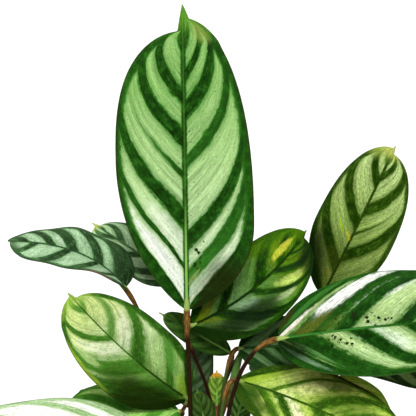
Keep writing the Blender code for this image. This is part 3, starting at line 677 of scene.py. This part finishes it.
def bladeFinish(name, spec, look):
    # Living leaf: a waxy skin, satin rather than glossy, with dark bands along the veins on a pale ground
    finish, add, shader = newFinish(name + " leaf skin")
    length = spec["length"]
    at = bladeRuler(add, spec, look)
    noises = bladeNoises(add, at, length, look["seed"])
    centred = {key: add("Math", value, 0.5, operation="SUBTRACT") for key, value in noises.items()}
    cloud, streak, mid = noises["cloud"], noises["streak"], look["mid"]

    def stirred(value, **amounts):  # a value with these amounts of the noises added, each less one half
        for key, amount in amounts.items():
            value = add("Math", centred[key], amount, value, operation="MULTIPLY_ADD")
        return value

    def marked(colour, kind):  # the leaf's own marks of one kind, laid over a colour
        for markS, markAcross, reachS, reachAcross, markColour, amount in look[kind]:
            along, start = at.s, markS
            if kind in ("ground", "over"):
                along, start = at.vein, veinShare(spec, look, markS, markAcross)
            end, endAcross = start + reachS, markAcross + reachAcross
            du = add("MapRange", along, start, end, clamp=False)
            dv = add("MapRange", at.across, markAcross, endAcross, clamp=False)
            spot = add("VectorMath", add("CombineXYZ", du, dv), operation="LENGTH")
            away = spot.node.outputs["Value"]
            # Soft marks: the dark ones are painted shade, the light ones a plain tint
            if kind == "paintedShadeAndTint":
                colour = coated(add, colour, (stirred(away, blotch=0.5), 1.2, 0.5, amount, markColour))
            elif kind == "scars":
                specks = stirred(add("TexVoronoi", at.seeded, 38.0), grain=1.1)
                crowd = add("MapRange", stirred(away, cloud=1.2), 1.1, 0.0, 0.0, amount, **softly)
                inside = add("Math", specks, crowd, operation="LESS_THAN")
                colour = add("Mix", inside, colour, markColour)
            else:
                ragged = stirred(away, cloud=0.9, grain=0.8, streak=1.6)
                colour = coated(add, colour, (ragged, 1.15, 0.75, amount, markColour))
        return colour

    # How dark the bands are: the red of a ramp is a band's shape and the green its depth
    place = add("MapRange", stirred(at.vein, blotch=0.03, streak=0.014), -0.3, 1.0)
    profiles, borders = [], []
    for side in ("right", "left"):
        inner, outer = [
            fillRamp(add("ValToRGB", place), bandStops(look[side], look["baseEdge"], which))
            for which in (False, True)
        ]
        profiles.append(add("Mix", at.v, inner, outer))
        borders.append(fillRamp(add("ValToRGB", at.s), look[side + "Border"]))
    profile = add("SeparateColor", add("Mix", at.isLeft, *profiles))
    border = add("Mix", at.isLeft, *borders)
    # The bands widen towards the margin and run together in a green border
    widened = add("Math", at.cube, 0.12, profile, operation="MULTIPLY_ADD")
    ragged = look["ragged"]
    darkness = stirred(widened, grain=0.35 * ragged, cloud=0.3 * ragged, streak=0.45 * ragged)
    darkness = add("MapRange", darkness, 0.38, 0.62, **softly)
    darkness = add("Math", darkness, profile.node.outputs[1], operation="MULTIPLY")
    edge = stirred(add("Math", border, at.v, operation="ADD"), cloud=0.1, streak=0.12)
    edge = add("MapRange", edge, 0.93, 1.06, **softly)
    rib = look["rib"]  # dark along the midrib, too
    beside = stirred(at.out, streak=0.018 * rib)
    beside = add("MapRange", beside, 0.008 * rib, 0.019 * rib, 0.9, 0.0, **softly)
    darkness = add("Math", darkness, beside, operation="MAXIMUM")
    darkness = add("Math", darkness, edge, operation="MAXIMUM")

    # Pale ground: whiter in fine streaks along the veins, greener in the hollows and near a band
    pale = look["pale"]
    stops = pale if isinstance(pale, tuple) else ((0, pale),)
    ground = marked(fillRamp(add("ValToRGB", at.s), stops), "ground")
    ground = coated(
        add,
        ground,
        (streak, 0.48, 0.7, look["streaks"], look["white"]),
        (noises["broad"], 0.46, 0.3, look["veins"], mid),
        (streak, 0.42, 0.3, look["veins"], mid),
        (noises["grain"], 0.5, 0.3, look["veins"] / 2, mid),
        (stirred(cloud, grain=0.8, streak=0.6), 0.5, 0.62, look["patchy"], mid),
        (stirred(at.v, blotch=-0.35), 0.5, 0.0, 0.22, mid),
        (profile, 0.0, 0.45, 0.45, mid),
    )
    # Dark bands: deepest by the midrib and mottled with lighter green towards the margin
    outward = add("Math", at.v, 0.9, noises["broad"], operation="MULTIPLY_ADD")
    deep = coated(
        add,
        look["darker"],
        (cloud, 0.35, 0.65, 1.0, look["dark"]),
        (outward, 0.7, 1.6, 0.18, mid),
        (stirred(cloud, grain=0.5, streak=0.7), 0.5, 0.75, look["mottle"], mid),
    )
    halfDark = add("MapRange", darkness, 0.0, 0.55)
    fullDark = add("MapRange", darkness, 0.3, 1.0)
    colour = add("Mix", halfDark, ground, mid)
    colour = add("Mix", fullDark, colour, deep)
    # The end of the blade fades to one plain green
    colour = coated(add, colour, (stirred(at.s, blotch=0.12), 0.885, 0.965, 0.85, look["tip"]))
    # Over the bands: the ragged marks, then the soft ones, which are mostly painted shade
    colour = marked(marked(colour, "over"), "paintedShadeAndTint")
    grainy = look["grainy"]
    # Value mottled in grain, streaks and hairs, and lighter and darker in broad bands along the veins:
    # painted light and shade of the pleats
    mottleAndPleatShade = stirred(look["light"], broad=0.7, streak=grainy, grain=grainy, hair=look["hairs"])
    colour = add("HueSaturation", 0.5, look["vivid"], mottleAndPleatShade, 1.0, colour)
    # Midrib: a pale line 1 mm wide in the lower part of the blade
    line = add("MapRange", at.s, 0.0, 0.9, 0.0075, 0.003)
    line = add("Math", at.out, line, operation="DIVIDE")
    line = add("MapRange", line, 0.6, 1.1, 1.0, 0.0, **softly)
    lineEnd = look["lineEnd"]
    shown = add("MapRange", at.s, lineEnd - 0.15, lineEnd + 0.1, 0.95, 0.12, **softly)
    line = add("Math", line, shown, operation="MULTIPLY")
    colour = marked(add("Mix", line, colour, look["line"]), "scars")
    # The very margin is a dry brown line
    colour = coated(add, colour, (at.v, 0.965, 0.995, 0.7, look["border"]))
    # Veins 1.6 mm apart stand in shallow relief, and the midrib lies in a groove
    ridge = add("Math", at.vein, length / 1.6 * 2 * math.pi, operation="MULTIPLY")
    ridge = add("Math", add("Math", ridge, operation="SINE"), cloud, operation="MULTIPLY")
    relief = add("Math", ridge, 0.25, streak, operation="MULTIPLY_ADD")
    groove = add("MapRange", at.out, 0.0, 0.014, -2.2, 0.0, **softly)
    relief = add("Math", relief, groove, operation="ADD")
    dress(add, shader, colour, roughness=0.5, specular=look["specular"], relief=relief, depth=0.00012)
    sheen = add("MapRange", streak, 0.3, 0.7, look["gloss"] - 0.05, look["gloss"] + 0.08)
    link(sheen, shader, "Roughness")
    return finish


underSide = dict(colour="#6b3146", deep="#4a2231", vein="#8a5159", roughness=0.5, veins=62)
rimSkin = dict(colour="#2c4a1e", dry="#5a6b2c", roughness=0.5)


def underFinish():
    # The underside of the leaf: wine red, matt, with its side veins a little paler
    finish, add, shader = newFinish("leaf underside")
    s, across, v = bladeShares(add)
    bent = add("Math", v, 2.4, operation="POWER")
    vein = add("Math", bent, -0.33, s, operation="MULTIPLY_ADD")
    wave = add("Math", vein, 2 * math.pi * underSide["veins"], operation="MULTIPLY")
    wave = add("Math", wave, operation="SINE")
    blotch = add("TexNoise", add("UVMap", uv_map="size"), 9.0, 4.0, 0.6)
    colour = add("Mix", blotch, underSide["colour"], underSide["deep"])
    ribs = add("MapRange", wave, 0.55, 1.0, 0.0, 0.5)
    colour = add("Mix", ribs, colour, underSide["vein"])
    relief = add("Math", wave, blotch, operation="ADD")
    rough = underSide["roughness"]
    dress(add, shader, colour, roughness=rough, specular=0.5, relief=relief, depth=0.00015)
    shader.inputs["IOR"].default_value = 1.45
    return finish


def rimFinish():
    # The cut line of the blade: translucent green skin seen edge on
    finish, add, shader = newFinish("leaf margin")
    tint = add("TexNoise", add("TexCoord").node.outputs["Object"], 120.0, 2.0)
    colour = add("Mix", tint, rimSkin["colour"], rimSkin["dry"])
    dress(add, shader, colour, roughness=rimSkin["roughness"], specular=0.5)
    return finish


def writeUv(mesh, **maps):
    # The piece's own maps and no other: a pair for each vertex, copied to every corner that uses it
    while mesh.uv_layers:
        mesh.uv_layers.remove(mesh.uv_layers[0])
    for name, values in maps.items():
        layer = mesh.uv_layers.new(name=name)
        for corner, place in zip(mesh.loops, layer.data):
            place.uv = values[corner.vertex_index]


def thicken(piece, thickness, offset):
    skin = piece.modifiers.new("thickness", "SOLIDIFY")
    skin.thickness = thickness * mm
    skin.offset = offset
    return skin


def smooth(angle):
    # Shades the active piece smooth, apart from edges sharper than this angle in degrees
    bpy.ops.object.shade_smooth_by_angle(angle=math.radians(angle))


def applyAll(piece, angle):
    pick(piece)
    for modifier in list(piece.modifiers):
        bpy.ops.object.modifier_apply(modifier=modifier.name)
    smooth(angle)


def settle(piece, node=None):
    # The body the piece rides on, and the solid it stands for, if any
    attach(piece, "root")
    if node:
        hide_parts(node)


underSkin, marginSkin = underFinish(), rimFinish()
for name, spec in leaves.items():
    look = dict(commonLook, **leafLooks[name])
    if spec["width"] < 20:
        look.update(rows=40, columns=16, waveHeight=0.3, pleatHeight=0.1)
    grid = dict(x_subdivisions=look["rows"], y_subdivisions=look["columns"], size=2)
    piece = startPiece(name + "_leaf", bpy.ops.mesh.primitive_grid_add, **grid)
    place = bladeMatrix(spec)
    shares, sizes = [], []
    for vertex in piece.data.vertices:
        s, across = rowPlace((vertex.co.x + 1) / 2), vertex.co.y
        shares.append((s, (across + 1) / 2))
        sizes.append((s * spec["length"] / 100, across * halfWidthMm(spec, s, across) / 100))
        vertex.co = place @ bladePoint(spec, s, across, look)
    writeUv(piece.data, share=shares, size=sizes)
    for finish in (bladeFinish(name, spec, look), underSkin, marginSkin):
        piece.data.materials.append(finish)
    skin = thicken(piece, blade["thickness"], 0)
    skin.material_offset = 1
    skin.material_offset_rim = 2
    applyAll(piece, 50)
    settle(piece, name + "_blade")
print("leaf blades made:", len(leaves))


# Stalks: thin petioles, each ending in a thicker tan joint and running on as a keel under the blade

stalk = dict(
    points=26, sides=12, gap=0.3, radius=0.55, radiusByWidth=0.009, swell=1.45, jointLength=13, below=14,
    keelEnd=0.86, keelPoints=18, keelTaper=0.82, keelSunk=0.55, sheathWall=0.5,
    colours=dict(brown=("#171005", "#3a250e"), green=("#2c3a16", "#566a2a"), maroon=("#170a07", "#3a1e12")),
    joint="#9a743a", jointRust="#46260c", keel="#9db85f",
)
stalkTones = {
    "tall_centre": "brown", "left_drooping": "maroon", "left_front": "brown", "right_upper": "brown",
    "right_large": "maroon", "small_back": "maroon", "right_middle": "maroon",
}


def stalkRadius(spec):
    return stalk["radius"] + stalk["radiusByWidth"] * spec["width"]


def shootAxis(shootName):
    (footX, footY), top = shoots[shootName]
    foot, top = Vector((footX, footY, soilTop)), Vector(top)
    return foot, top, (top - foot).normalized()


def stalkStarts(shootName):
    # The stalks leave a sheath side by side in a ring, in the order of their bearings
    foot, top, axis = shootAxis(shootName)
    grown = {**leaves, "rolled_leaf": spike}
    members = {name: spec for name, spec in grown.items() if spec["shoot"] == shootName}
    bearing = {}
    for name, spec in members.items():
        away = spec["base"] - top
        bearing[name] = math.atan2(away.y, away.x)
    order = sorted(members, key=bearing.get)
    share = 2 * math.pi / len(order)
    lag = [bearing[name] - share * i for i, name in enumerate(order)]
    start = math.atan2(sum(map(math.sin, lag)), sum(map(math.cos, lag)))
    widest = max(stalkRadius(spec) for spec in members.values())
    ring = (widest + stalk["gap"] / 2) / math.sin(share / 2)
    places = {}
    for i, name in enumerate(order):
        turn = start + share * i
        places[name] = top + axis * stalk["gap"] + Vector((math.cos(turn), math.sin(turn), 0)) * ring
    return places, ring + widest + stalk["sheathWall"]


def stemFinish(name, dark, light):
    # Petiole: smooth, firm and slightly waxy, flecked along its length, with a dry tan joint under the blade
    finish, add, shader = newFinish(name)
    place = add("UVMap", uv_map="stem")  # mm to the blade over 100, and the share of the way round
    away = add("SeparateXYZ", place)
    stretched = add("Mapping", place, None, None, (14.0, 9.0, 1.0))
    fleck = add("TexNoise", stretched, 3.0, 3.0, 0.6)
    tint = add("MapRange", fleck, 0.35, 0.65)
    colour = add("Mix", tint, dark, light)
    blotch = add("TexNoise", stretched, 0.9, 3.0, 0.6)
    mottled = add("Math", blotch, 0.4, operation="MULTIPLY")
    mottled = add("Math", fleck, 0.6, mottled, operation="MULTIPLY_ADD")
    worn = add("MapRange", mottled, 0.42, 0.58)
    rust = add("Mix", worn, stalk["joint"], stalk["jointRust"])
    near = add("MapRange", away, 0.10, 0.15, 1.0, 0.0, **softly)
    colour = add("Mix", near, colour, rust)
    colour = coated(add, colour, (away, 0.005, -0.01, 1.0, stalk["keel"]))
    dress(add, shader, colour, roughness=0.42, specular=0.08, relief=fleck, strength=0.8, depth=0.0003)
    return finish


def addStem(name, points, radii, sides):
    # A round stem through these points in mm, as a closed mesh, with a map of its length and its way round
    curve = bpy.data.curves.new(name, "CURVE")
    curve.dimensions = "3D"
    curve.bevel_depth = mm
    curve.bevel_resolution = (sides - 4) // 2
    curve.use_fill_caps = True
    spline = curve.splines.new("POLY")
    spline.points.add(len(points) - 1)
    for place, point, radius in zip(spline.points, points, radii):
        place.co = (*(point * mm), 1)
        place.radius = radius
    made = bpy.data.objects.new(name, curve)
    bpy.context.collection.objects.link(made)
    pick(made)
    bpy.ops.object.convert(target="MESH")
    made = bpy.context.object
    with editing():
        bpy.ops.mesh.remove_doubles(threshold=0.005 * mm)
        bpy.ops.mesh.normals_make_consistent(inside=False)
    smooth(60)
    return made


def mapStem(piece, points, zero):
    # The distance to the point numbered zero, over 100 mm, and the way round, for each vertex
    run = [0.0]
    for a, b in zip(points, points[1:]):
        run.append(run[-1] + (b - a).length)
    values = []
    for vertex in piece.data.vertices:
        spot = vertex.co / mm
        i = min(range(len(points)), key=lambda k: (points[k] - spot).length_squared)
        off = spot - points[i]
        values.append(((run[zero] - run[i]) / 100, math.atan2(off.y, off.x) / (2 * math.pi) + 0.5))
    writeUv(piece.data, stem=values)


stemSkins = {tone: stemFinish(tone + " petiole skin", *pair) for tone, pair in stalk["colours"].items()}
sheathRadii = {}
for shootName in shoots:
    places, sheathRadii[shootName] = stalkStarts(shootName)
    axis = shootAxis(shootName)[2]
    for name, start in places.items():
        if name == "rolled_leaf":
            spikeStart = start
            continue
        spec = leaves[name]
        place = bladeMatrix(spec)
        direction = (place.to_3x3() @ bezierDirection(midrib(spec), 0)).normalized()
        end = spec["base"] - direction * stalk["gap"]
        span = (end - start).length
        nearReach, farReach = spec["reach"]
        curve = [start, start + axis * span * nearReach, end - direction * span * farReach, end]
        points = [start - axis * stalk["below"], start - axis * stalk["below"] / 2]
        points += [bezier(curve, i / (stalk["points"] - 1)) for i in range(stalk["points"])]
        joint = len(points) - 1
        thin = stalkRadius(spec)
        radii = []
        for point in points:
            near = max(0.0, 1 - (point - end).length / stalk["jointLength"])
            radii.append(thin * (1 + (stalk["swell"] - 1) * min(1.0, 2 * near)))
        look = dict(commonLook, **leafLooks[name])
        for i in range(1, stalk["keelPoints"] + 1):  # the keel lies half sunk in the underside of the midrib
            share = stalk["keelEnd"] * i / stalk["keelPoints"]
            spot = place @ bladePoint(spec, share, 0, look) / mm
            down = place.to_3x3() @ Vector((0, 0, -1))
            radius = thin * (1.0 - stalk["keelTaper"] * i / stalk["keelPoints"])
            points.append(spot + down * (radius * stalk["keelSunk"] + blade["thickness"] / 2))
            radii.append(radius)
        piece = addStem(name + "_petiole", points, radii, stalk["sides"])
        mapStem(piece, points, joint)
        piece.data.materials.append(stemSkins[stalkTones.get(name, "green")])
        settle(piece, name + "_stalk")
print("stalks made")


# Sheaths: the foot of each shoot, where the broad bases of the petioles clasp one another

sheath = dict(
    sides=36, rings=16, footSwell=1.25, waistSwell=1.1, waist=0.4, wall=0.5, lip=5, ribs=14, flutes=5,
    fluteDepth=0.05, flare=0.04,
    dark="#5c4a26", light="#7d7a3c", fibre="#3a2a18",
)


def sheathFinish():
    # Sheath: fibrous and ribbed along its length, green-brown above and dry brown where it stands in the mix
    finish, add, shader = newFinish("fibrous leaf sheath")
    place = add("UVMap", uv_map="stem")
    height = add("SeparateXYZ", place)
    around = add("Math", height.node.outputs[1], 2 * math.pi * sheath["ribs"], operation="MULTIPLY")
    rib = add("Math", around, operation="SINE")
    stretched = add("Mapping", place, None, None, (6.0, 26.0, 1.0))
    fibre = add("TexNoise", stretched, 2.0, 4.0, 0.65)
    colour = add("Mix", fibre, sheath["dark"], sheath["light"])
    dry = add("Math", fibre, 0.1, height, operation="MULTIPLY_ADD")
    dry = add("MapRange", dry, 0.0, 0.16, 1.0, 0.0, **softly)
    colour = add("Mix", dry, colour, sheath["fibre"])
    relief = add("Math", rib, 0.3, fibre, operation="MULTIPLY_ADD")
    dress(add, shader, colour, roughness=0.6, specular=0.25, relief=relief, strength=0.7, depth=0.0003)
    return finish


sheathSkin = sheathFinish()
for shootName in shoots:
    foot, top, axis = shootAxis(shootName)
    radius = sheathRadii[shootName]
    tube = dict(vertices=sheath["sides"], radius=1, depth=2, end_fill_type="NOTHING")
    piece = startPiece(shootName + "_leaf_sheath", bpy.ops.mesh.primitive_cylinder_add, **tube)
    with editing():
        bpy.ops.mesh.subdivide(number_cuts=sheath["rings"])
    height = (top - foot).length
    waist = foot + Vector((0, 0, height * sheath["waist"]))
    values = []
    for vertex in piece.data.vertices:
        t = (vertex.co.z + 1) / 2
        turn = math.atan2(vertex.co.y, vertex.co.x)
        share = math.hypot(vertex.co.x, vertex.co.y)
        spine = foot * (1 - t) ** 2 + waist * (2 * t * (1 - t)) + top * t * t
        swell = sheath["footSwell"] * (1 - t) ** 2 + 2 * sheath["waistSwell"] * t * (1 - t) + t * t
        rim = sheath["lip"] * math.cos(turn * 2 + foot.x) * t**6  # the lip runs up and down round the shoot
        flute = sheath["fluteDepth"] * math.sin(turn * sheath["flutes"] + foot.y) * math.sin(math.pi * t)
        out = radius * swell * share * (1 + flute + sheath["flare"] * t**8)
        vertex.co = (spine + axis * min(rim, 0.0) + Vector((math.cos(turn), math.sin(turn), 0)) * out) * mm
        values.append((t * height / 100, turn / (2 * math.pi) + 0.5))
    writeUv(piece.data, stem=values)
    piece.data.materials.append(sheathSkin)
    thicken(piece, sheath["wall"], -1)
    applyAll(piece, 50)
    settle(piece, shootName + "_sheath")
print("sheaths made")


# Rolled leaf: the newest blade, still furled round itself, orange at its point, on its own stalk

furl = dict(
    turns=1.7, twist=1.5, rows=60, columns=40, radius=2.4, taper=0.35, core=0.3, stalkRadius=1.0,
    neck=0.2, layer=0.28, thickness=0.2, lead=10, overlap=2, points=16,
    green="#4f8f35", pale="#86b457", tip="#e0952a",
)


def furlFinish():
    # A young blade: tender, bright and a little glossy, orange where its point dries
    finish, add, shader = newFinish("furled young leaf")
    place = add("UVMap", uv_map="share")
    stretched = add("Mapping", place, None, None, (4.0, 60.0, 1.0))
    line = add("TexNoise", stretched, 2.0, 3.0, 0.6)
    line = add("MapRange", line, 0.4, 0.6)
    colour = add("Mix", line, furl["green"], furl["pale"])
    colour = coated(add, colour, (add("SeparateXYZ", place), 0.82, 0.97, 1.0, furl["tip"]))
    dress(add, shader, colour, roughness=0.4, specular=0.3, relief=line, strength=0.5, depth=0.0002)
    return finish


grid = dict(x_subdivisions=furl["rows"], y_subdivisions=furl["columns"], size=2)
rolled = startPiece("rolled_young_leaf", bpy.ops.mesh.primitive_grid_add, **grid)
lean = (spike["tip"] - spike["base"]).normalized()
sideways = lean.cross(Vector((0, 1, 0))).normalized()
depthways = sideways.cross(lean)
values = []
for vertex in rolled.data.vertices:
    t, w = (vertex.co.x + 1) / 2, (vertex.co.y + 1) / 2
    bulge = math.sin(math.pi * min(1, t**0.75)) ** 0.8
    core = furl["core"] + (furl["radius"] - furl["core"]) * bulge * (1 - furl["taper"] * t)
    start = furl["stalkRadius"] * max(0, 1 - t / furl["neck"])
    radius = max(core, start) - furl["layer"] * furl["turns"] * (1 - w) * bulge
    turn = 2 * math.pi * furl["turns"] * w + furl["twist"] * t
    around = sideways * math.cos(turn) + depthways * math.sin(turn)
    vertex.co = (spike["base"].lerp(spike["tip"], t) + around * radius) * mm
    values.append((t, w))
writeUv(rolled.data, share=values)
rolled.data.materials.append(furlFinish())
thicken(rolled, furl["thickness"], -1)
applyAll(rolled, 50)
settle(rolled, "rolled_leaf")
axis = shootAxis("centre")[2]
leaving, arriving = spikeStart + axis * furl["lead"], spike["base"] - lean * furl["lead"]
curve = [spikeStart, leaving, arriving, spike["base"] + lean * furl["overlap"]]
points = [spikeStart - axis * stalk["below"]]
points += [bezier(curve, i / (furl["points"] - 1)) for i in range(furl["points"])]
piece = addStem("rolled_leaf_petiole", points, [furl["stalkRadius"]] * len(points), stalk["sides"])
mapStem(piece, points, len(points) - 1)
piece.data.materials.append(stemSkins["green"])
settle(piece)
print("rolled leaf made")


# Pot: thrown terracotta with a band under its lip, and the dark mix it is filled with

pot = dict(
    steps=128, rim=65, height=110, foot=43, band=24, step=3.5, wall=6, floor=7, edge=2, worn=0.7, drain=6.5,
    clay="#b5694a", clayDark="#96492f", lime="#d9c6b2", sand="#6e3a28",
)
mix = dict(
    gap=0.3, rings=30, hole=0.4, dip=2.5, shoulder=8, lump=2.2, lumpScale=0.09, lumpLevel=0.6, even=6,
    dark="#1d130c", light="#4a3423", crumb="#5d4430",
)


def wallRadius(z):
    return pot["foot"] + (pot["rim"] - pot["step"] - pot["foot"]) * z / pot["height"]


def clayFinish():
    # Terracotta: low-fired clay, porous and matt, with turning lines and a bloom of lime low on the wall
    finish, add, shader = newFinish("turned terracotta")
    place = add("TexCoord").node.outputs["Object"]
    height = add("SeparateXYZ", place).node.outputs[2]
    cloud = add("TexNoise", place, 26.0, 4.0, 0.6)
    grit = add("TexNoise", place, 1100.0, 2.0, 0.7)  # sand grains 0.8 mm across
    rings = add("Mapping", place, None, None, (4.0, 4.0, 420.0))
    lines = add("TexNoise", rings, 1.0, 3.0, 0.6)
    tint = add("Math", cloud, lines, operation="ADD")
    tint = add("MapRange", tint, 0.7, 1.3)
    colour = add("Mix", tint, pot["clayDark"], pot["clay"])
    patchy = add("TexNoise", place, 48.0, 5.0, 0.65)
    low = add("MapRange", height, 0.0, 0.07, 0.25, -0.05)
    bloom = add("Math", patchy, low, operation="ADD")
    colour = coated(add, colour, (bloom, 0.56, 0.82, 0.42, pot["lime"]))
    speck = add("MapRange", grit, 0.62, 0.72, 0.0, 0.4)
    colour = add("Mix", speck, colour, pot["sand"])
    relief = add("Math", lines, 1.4, grit, operation="MULTIPLY_ADD")
    dress(add, shader, colour, roughness=0.88, specular=0.25, relief=relief, depth=0.0003)
    return finish


def mixFinish():
    # Potting mix: damp peat and fine bark, almost black, crumbly and without gloss
    finish, add, shader = newFinish("damp potting mix")
    place = add("TexCoord").node.outputs["Object"]
    crumb = add("TexVoronoi", place, 620.0)  # crumbs 1.6 mm across
    cloud = add("TexNoise", place, 90.0, 5.0, 0.7)
    colour = add("Mix", cloud, mix["dark"], mix["light"])
    light = add("MapRange", crumb, 0.0, 0.5, 0.5, 0.0)
    colour = add("Mix", light, colour, mix["crumb"])
    relief = add("Math", cloud, 1.0, crumb, operation="MULTIPLY_ADD")
    dress(add, shader, colour, roughness=0.95, specular=0.15, relief=relief, strength=0.9, depth=0.0006)
    return finish


def turned(name, profile, close):
    # A ring of edges extruded and scaled through the profile's (radius, height) points, in mm
    radius, height = profile[0]
    ring = dict(vertices=pot["steps"], radius=radius * mm, location=(0, 0, height * mm))
    made = startPiece(name, bpy.ops.mesh.primitive_circle_add, **ring)
    bpy.ops.object.transform_apply(location=True)
    with editing():
        for nextRadius, nextHeight in profile[1:]:
            step = {"value": (0, 0, (nextHeight - height) * mm)}
            bpy.ops.mesh.extrude_region_move(TRANSFORM_OT_translate=step)
            ratio = nextRadius / radius
            bpy.ops.transform.resize(value=(ratio, ratio, 1), center_override=(0, 0, nextHeight * mm))
            radius, height = nextRadius, nextHeight
        if close:
            bpy.ops.mesh.select_all(action="DESELECT")
            bpy.ops.mesh.select_non_manifold()
            bpy.ops.mesh.bridge_edge_loops()
        bpy.ops.mesh.select_all(action="SELECT")
        bpy.ops.mesh.normals_make_consistent(inside=False)
    return made


def arc(centre, radius, start, end, steps):  # points of a rounded edge, angles in degrees
    turns = [math.radians(start + (end - start) * i / steps) for i in range(steps + 1)]
    return [(centre[0] + radius * math.cos(a), centre[1] + radius * math.sin(a)) for a in turns]


bandBottom = pot["height"] - pot["band"]
edge = pot["edge"]
inner = wallRadius(pot["height"]) - pot["wall"]
profile = [(pot["drain"], 0), (pot["foot"] - edge, 0)]
profile += [(wallRadius(edge), edge), (wallRadius(bandBottom - edge), bandBottom - edge)]
profile += [(pot["rim"] - edge / 2, bandBottom), (pot["rim"], bandBottom + edge)]
profile += arc((pot["rim"] - edge, pot["height"] - edge), edge, 0, 90, 6)
profile += arc((inner + edge, pot["height"] - edge), edge, 90, 180, 6)
profile += [(wallRadius(pot["floor"]) - pot["wall"], pot["floor"] + edge)]
profile += [(wallRadius(pot["floor"]) - pot["wall"] - edge, pot["floor"]), (pot["drain"], pot["floor"])]
clayPot = turned("clay_pot", profile, True)
soften = clayPot.modifiers.new("worn edges", "BEVEL")
soften.width = pot["worn"] * mm
soften.segments = 3
soften.limit_method = "ANGLE"
soften.angle_limit = math.radians(28)
applyAll(clayPot, 40)
clayPot.data.materials.append(clayFinish())
settle(clayPot, "pot")

gap, rings = mix["gap"], mix["rings"]
edgeHeight = soilTop - mix["dip"]
edgeRadius = wallRadius(edgeHeight) - pot["wall"] - gap


def mixHeight(x, y):  # the surface of the mix: mounded, lumpy, and even where it meets the wall
    inside = edgeRadius - math.hypot(x, y)
    spot = Vector((x, y, soilTop)) * mix["lumpScale"]
    lump = mix["lump"] * (noise.fractal(spot, 0.8, 2.0, 4) - mix["lumpLevel"])
    mound = mix["dip"] * min(1.0, inside / mix["shoulder"])
    return edgeHeight + mound + lump * min(1.0, mix["even"] * inside / edgeRadius)


bottom = pot["floor"] + gap
profile = [(mix["hole"], bottom), (wallRadius(pot["floor"]) - pot["wall"] - edge - gap, bottom)]
profile += [(wallRadius(pot["floor"] + edge) - pot["wall"] - gap, bottom + edge), (edgeRadius, edgeHeight)]
profile += [(edgeRadius * (1 - i / rings) + mix["hole"], soilTop) for i in range(1, rings + 1)]
mixBody = turned("mix_body", profile, False)
with editing("DESELECT"):
    bpy.ops.mesh.select_non_manifold()
    bpy.ops.mesh.edge_face_add()
for vertex in mixBody.data.vertices:
    if vertex.co.z > (edgeHeight + 0.1) * mm:
        vertex.co.z = mixHeight(vertex.co.x / mm, vertex.co.y / mm) * mm
smooth(60)
mixBody.data.materials.append(mixFinish())
settle(mixBody, "potting_mix")
print("pot and mix made")


# Loose grains on the mix: flat chips of bark, crumbs of peat and white beads of perlite

grains = {
    "bark_chips": dict(
        finish="weathered bark", count=170, detail=2, size=(2, 4.6), squash=(1, 0.5, 0.24), rough=0.5,
        lift=0.5, dark="#21140c", light="#7d5639", seed=3,
    ),
    "peat_crumbs": dict(
        finish="crumbled peat", count=300, detail=1, size=(0.8, 2), squash=(1, 0.8, 0.65), rough=0.6,
        lift=0.4, dark="#140d08", light="#3d2a1c", seed=5,
    ),
    "perlite_beads": dict(
        finish="expanded perlite", count=48, detail=2, size=(0.8, 1.6), squash=(1, 0.9, 0.8), rough=0.35,
        lift=0.5, dark="#cfcabb", light="#f4f2ea", seed=7,
    ),
}


def grainFinish(grain):
    # Dry and rough, with its own tone for each grain and flecks within it
    finish, add, shader = newFinish(grain["finish"])
    tone = add("SeparateXYZ", add("UVMap", uv_map="tone"))
    place = add("TexCoord").node.outputs["Object"]
    fleck = add("TexNoise", place, 1200.0, 3.0, 0.6)
    share = add("Math", fleck, tone, operation="ADD")
    share = add("MapRange", share, 0.4, 1.6)
    colour = add("Mix", share, grain["dark"], grain["light"])
    dress(add, shader, colour, roughness=0.9, specular=0.15, relief=fleck, strength=0.7, depth=0.0002)
    return finish


scatter = dict(clear=2, tilt=0.2, dents=1.3)  # mm left free round a sheath, and how far grains lean and vary


def onSheath(x, y):
    return any(
        math.hypot(x - footX, y - footY) < sheath["footSwell"] * sheathRadii[shootName] + scatter["clear"]
        for shootName, ((footX, footY), top) in shoots.items()
    )


for name, grain in grains.items():
    random.seed(grain["seed"])
    ball = dict(subdivisions=grain["detail"], radius=1)
    master = startPiece(name + "_master", bpy.ops.mesh.primitive_ico_sphere_add, **ball)
    copies = []
    while len(copies) < grain["count"]:
        away = (edgeRadius - grain["size"][1]) * math.sqrt(random.random())
        turn = random.uniform(0, 2 * math.pi)
        x, y = away * math.cos(turn), away * math.sin(turn)
        if onSheath(x, y):
            continue
        copy = master.copy()
        copy.data = master.data.copy()
        shape = Vector((random.uniform(0, 90), 0, 0))
        for vertex in copy.data.vertices:
            vertex.co *= 1 + grain["rough"] * noise.noise(vertex.co * scatter["dents"] + shape)
        radii = [random.uniform(*grain["size"]) * share for share in grain["squash"]]
        tilts = [random.gauss(0, scatter["tilt"]) for _ in range(2)]
        lean = Euler((*tilts, random.uniform(0, 6.3)))
        spot = Vector((x, y, mixHeight(x, y) + radii[2] * grain["lift"]))
        copy.data.transform(Matrix.Diagonal((*radii, 1)))
        copy.data.transform(Matrix.Scale(mm, 4) @ Matrix.Translation(spot) @ lean.to_matrix().to_4x4())
        writeUv(copy.data, tone=[(random.random(), 0.5)] * len(copy.data.vertices))
        bpy.context.collection.objects.link(copy)
        copies.append(copy)
    bpy.data.objects.remove(master)
    pick(*copies)
    bpy.ops.object.join()
    heap = bpy.context.object
    heap.name = name
    heap.data.materials.append(grainFinish(grain))
    smooth(45)
    settle(heap)
print("loose grains made")
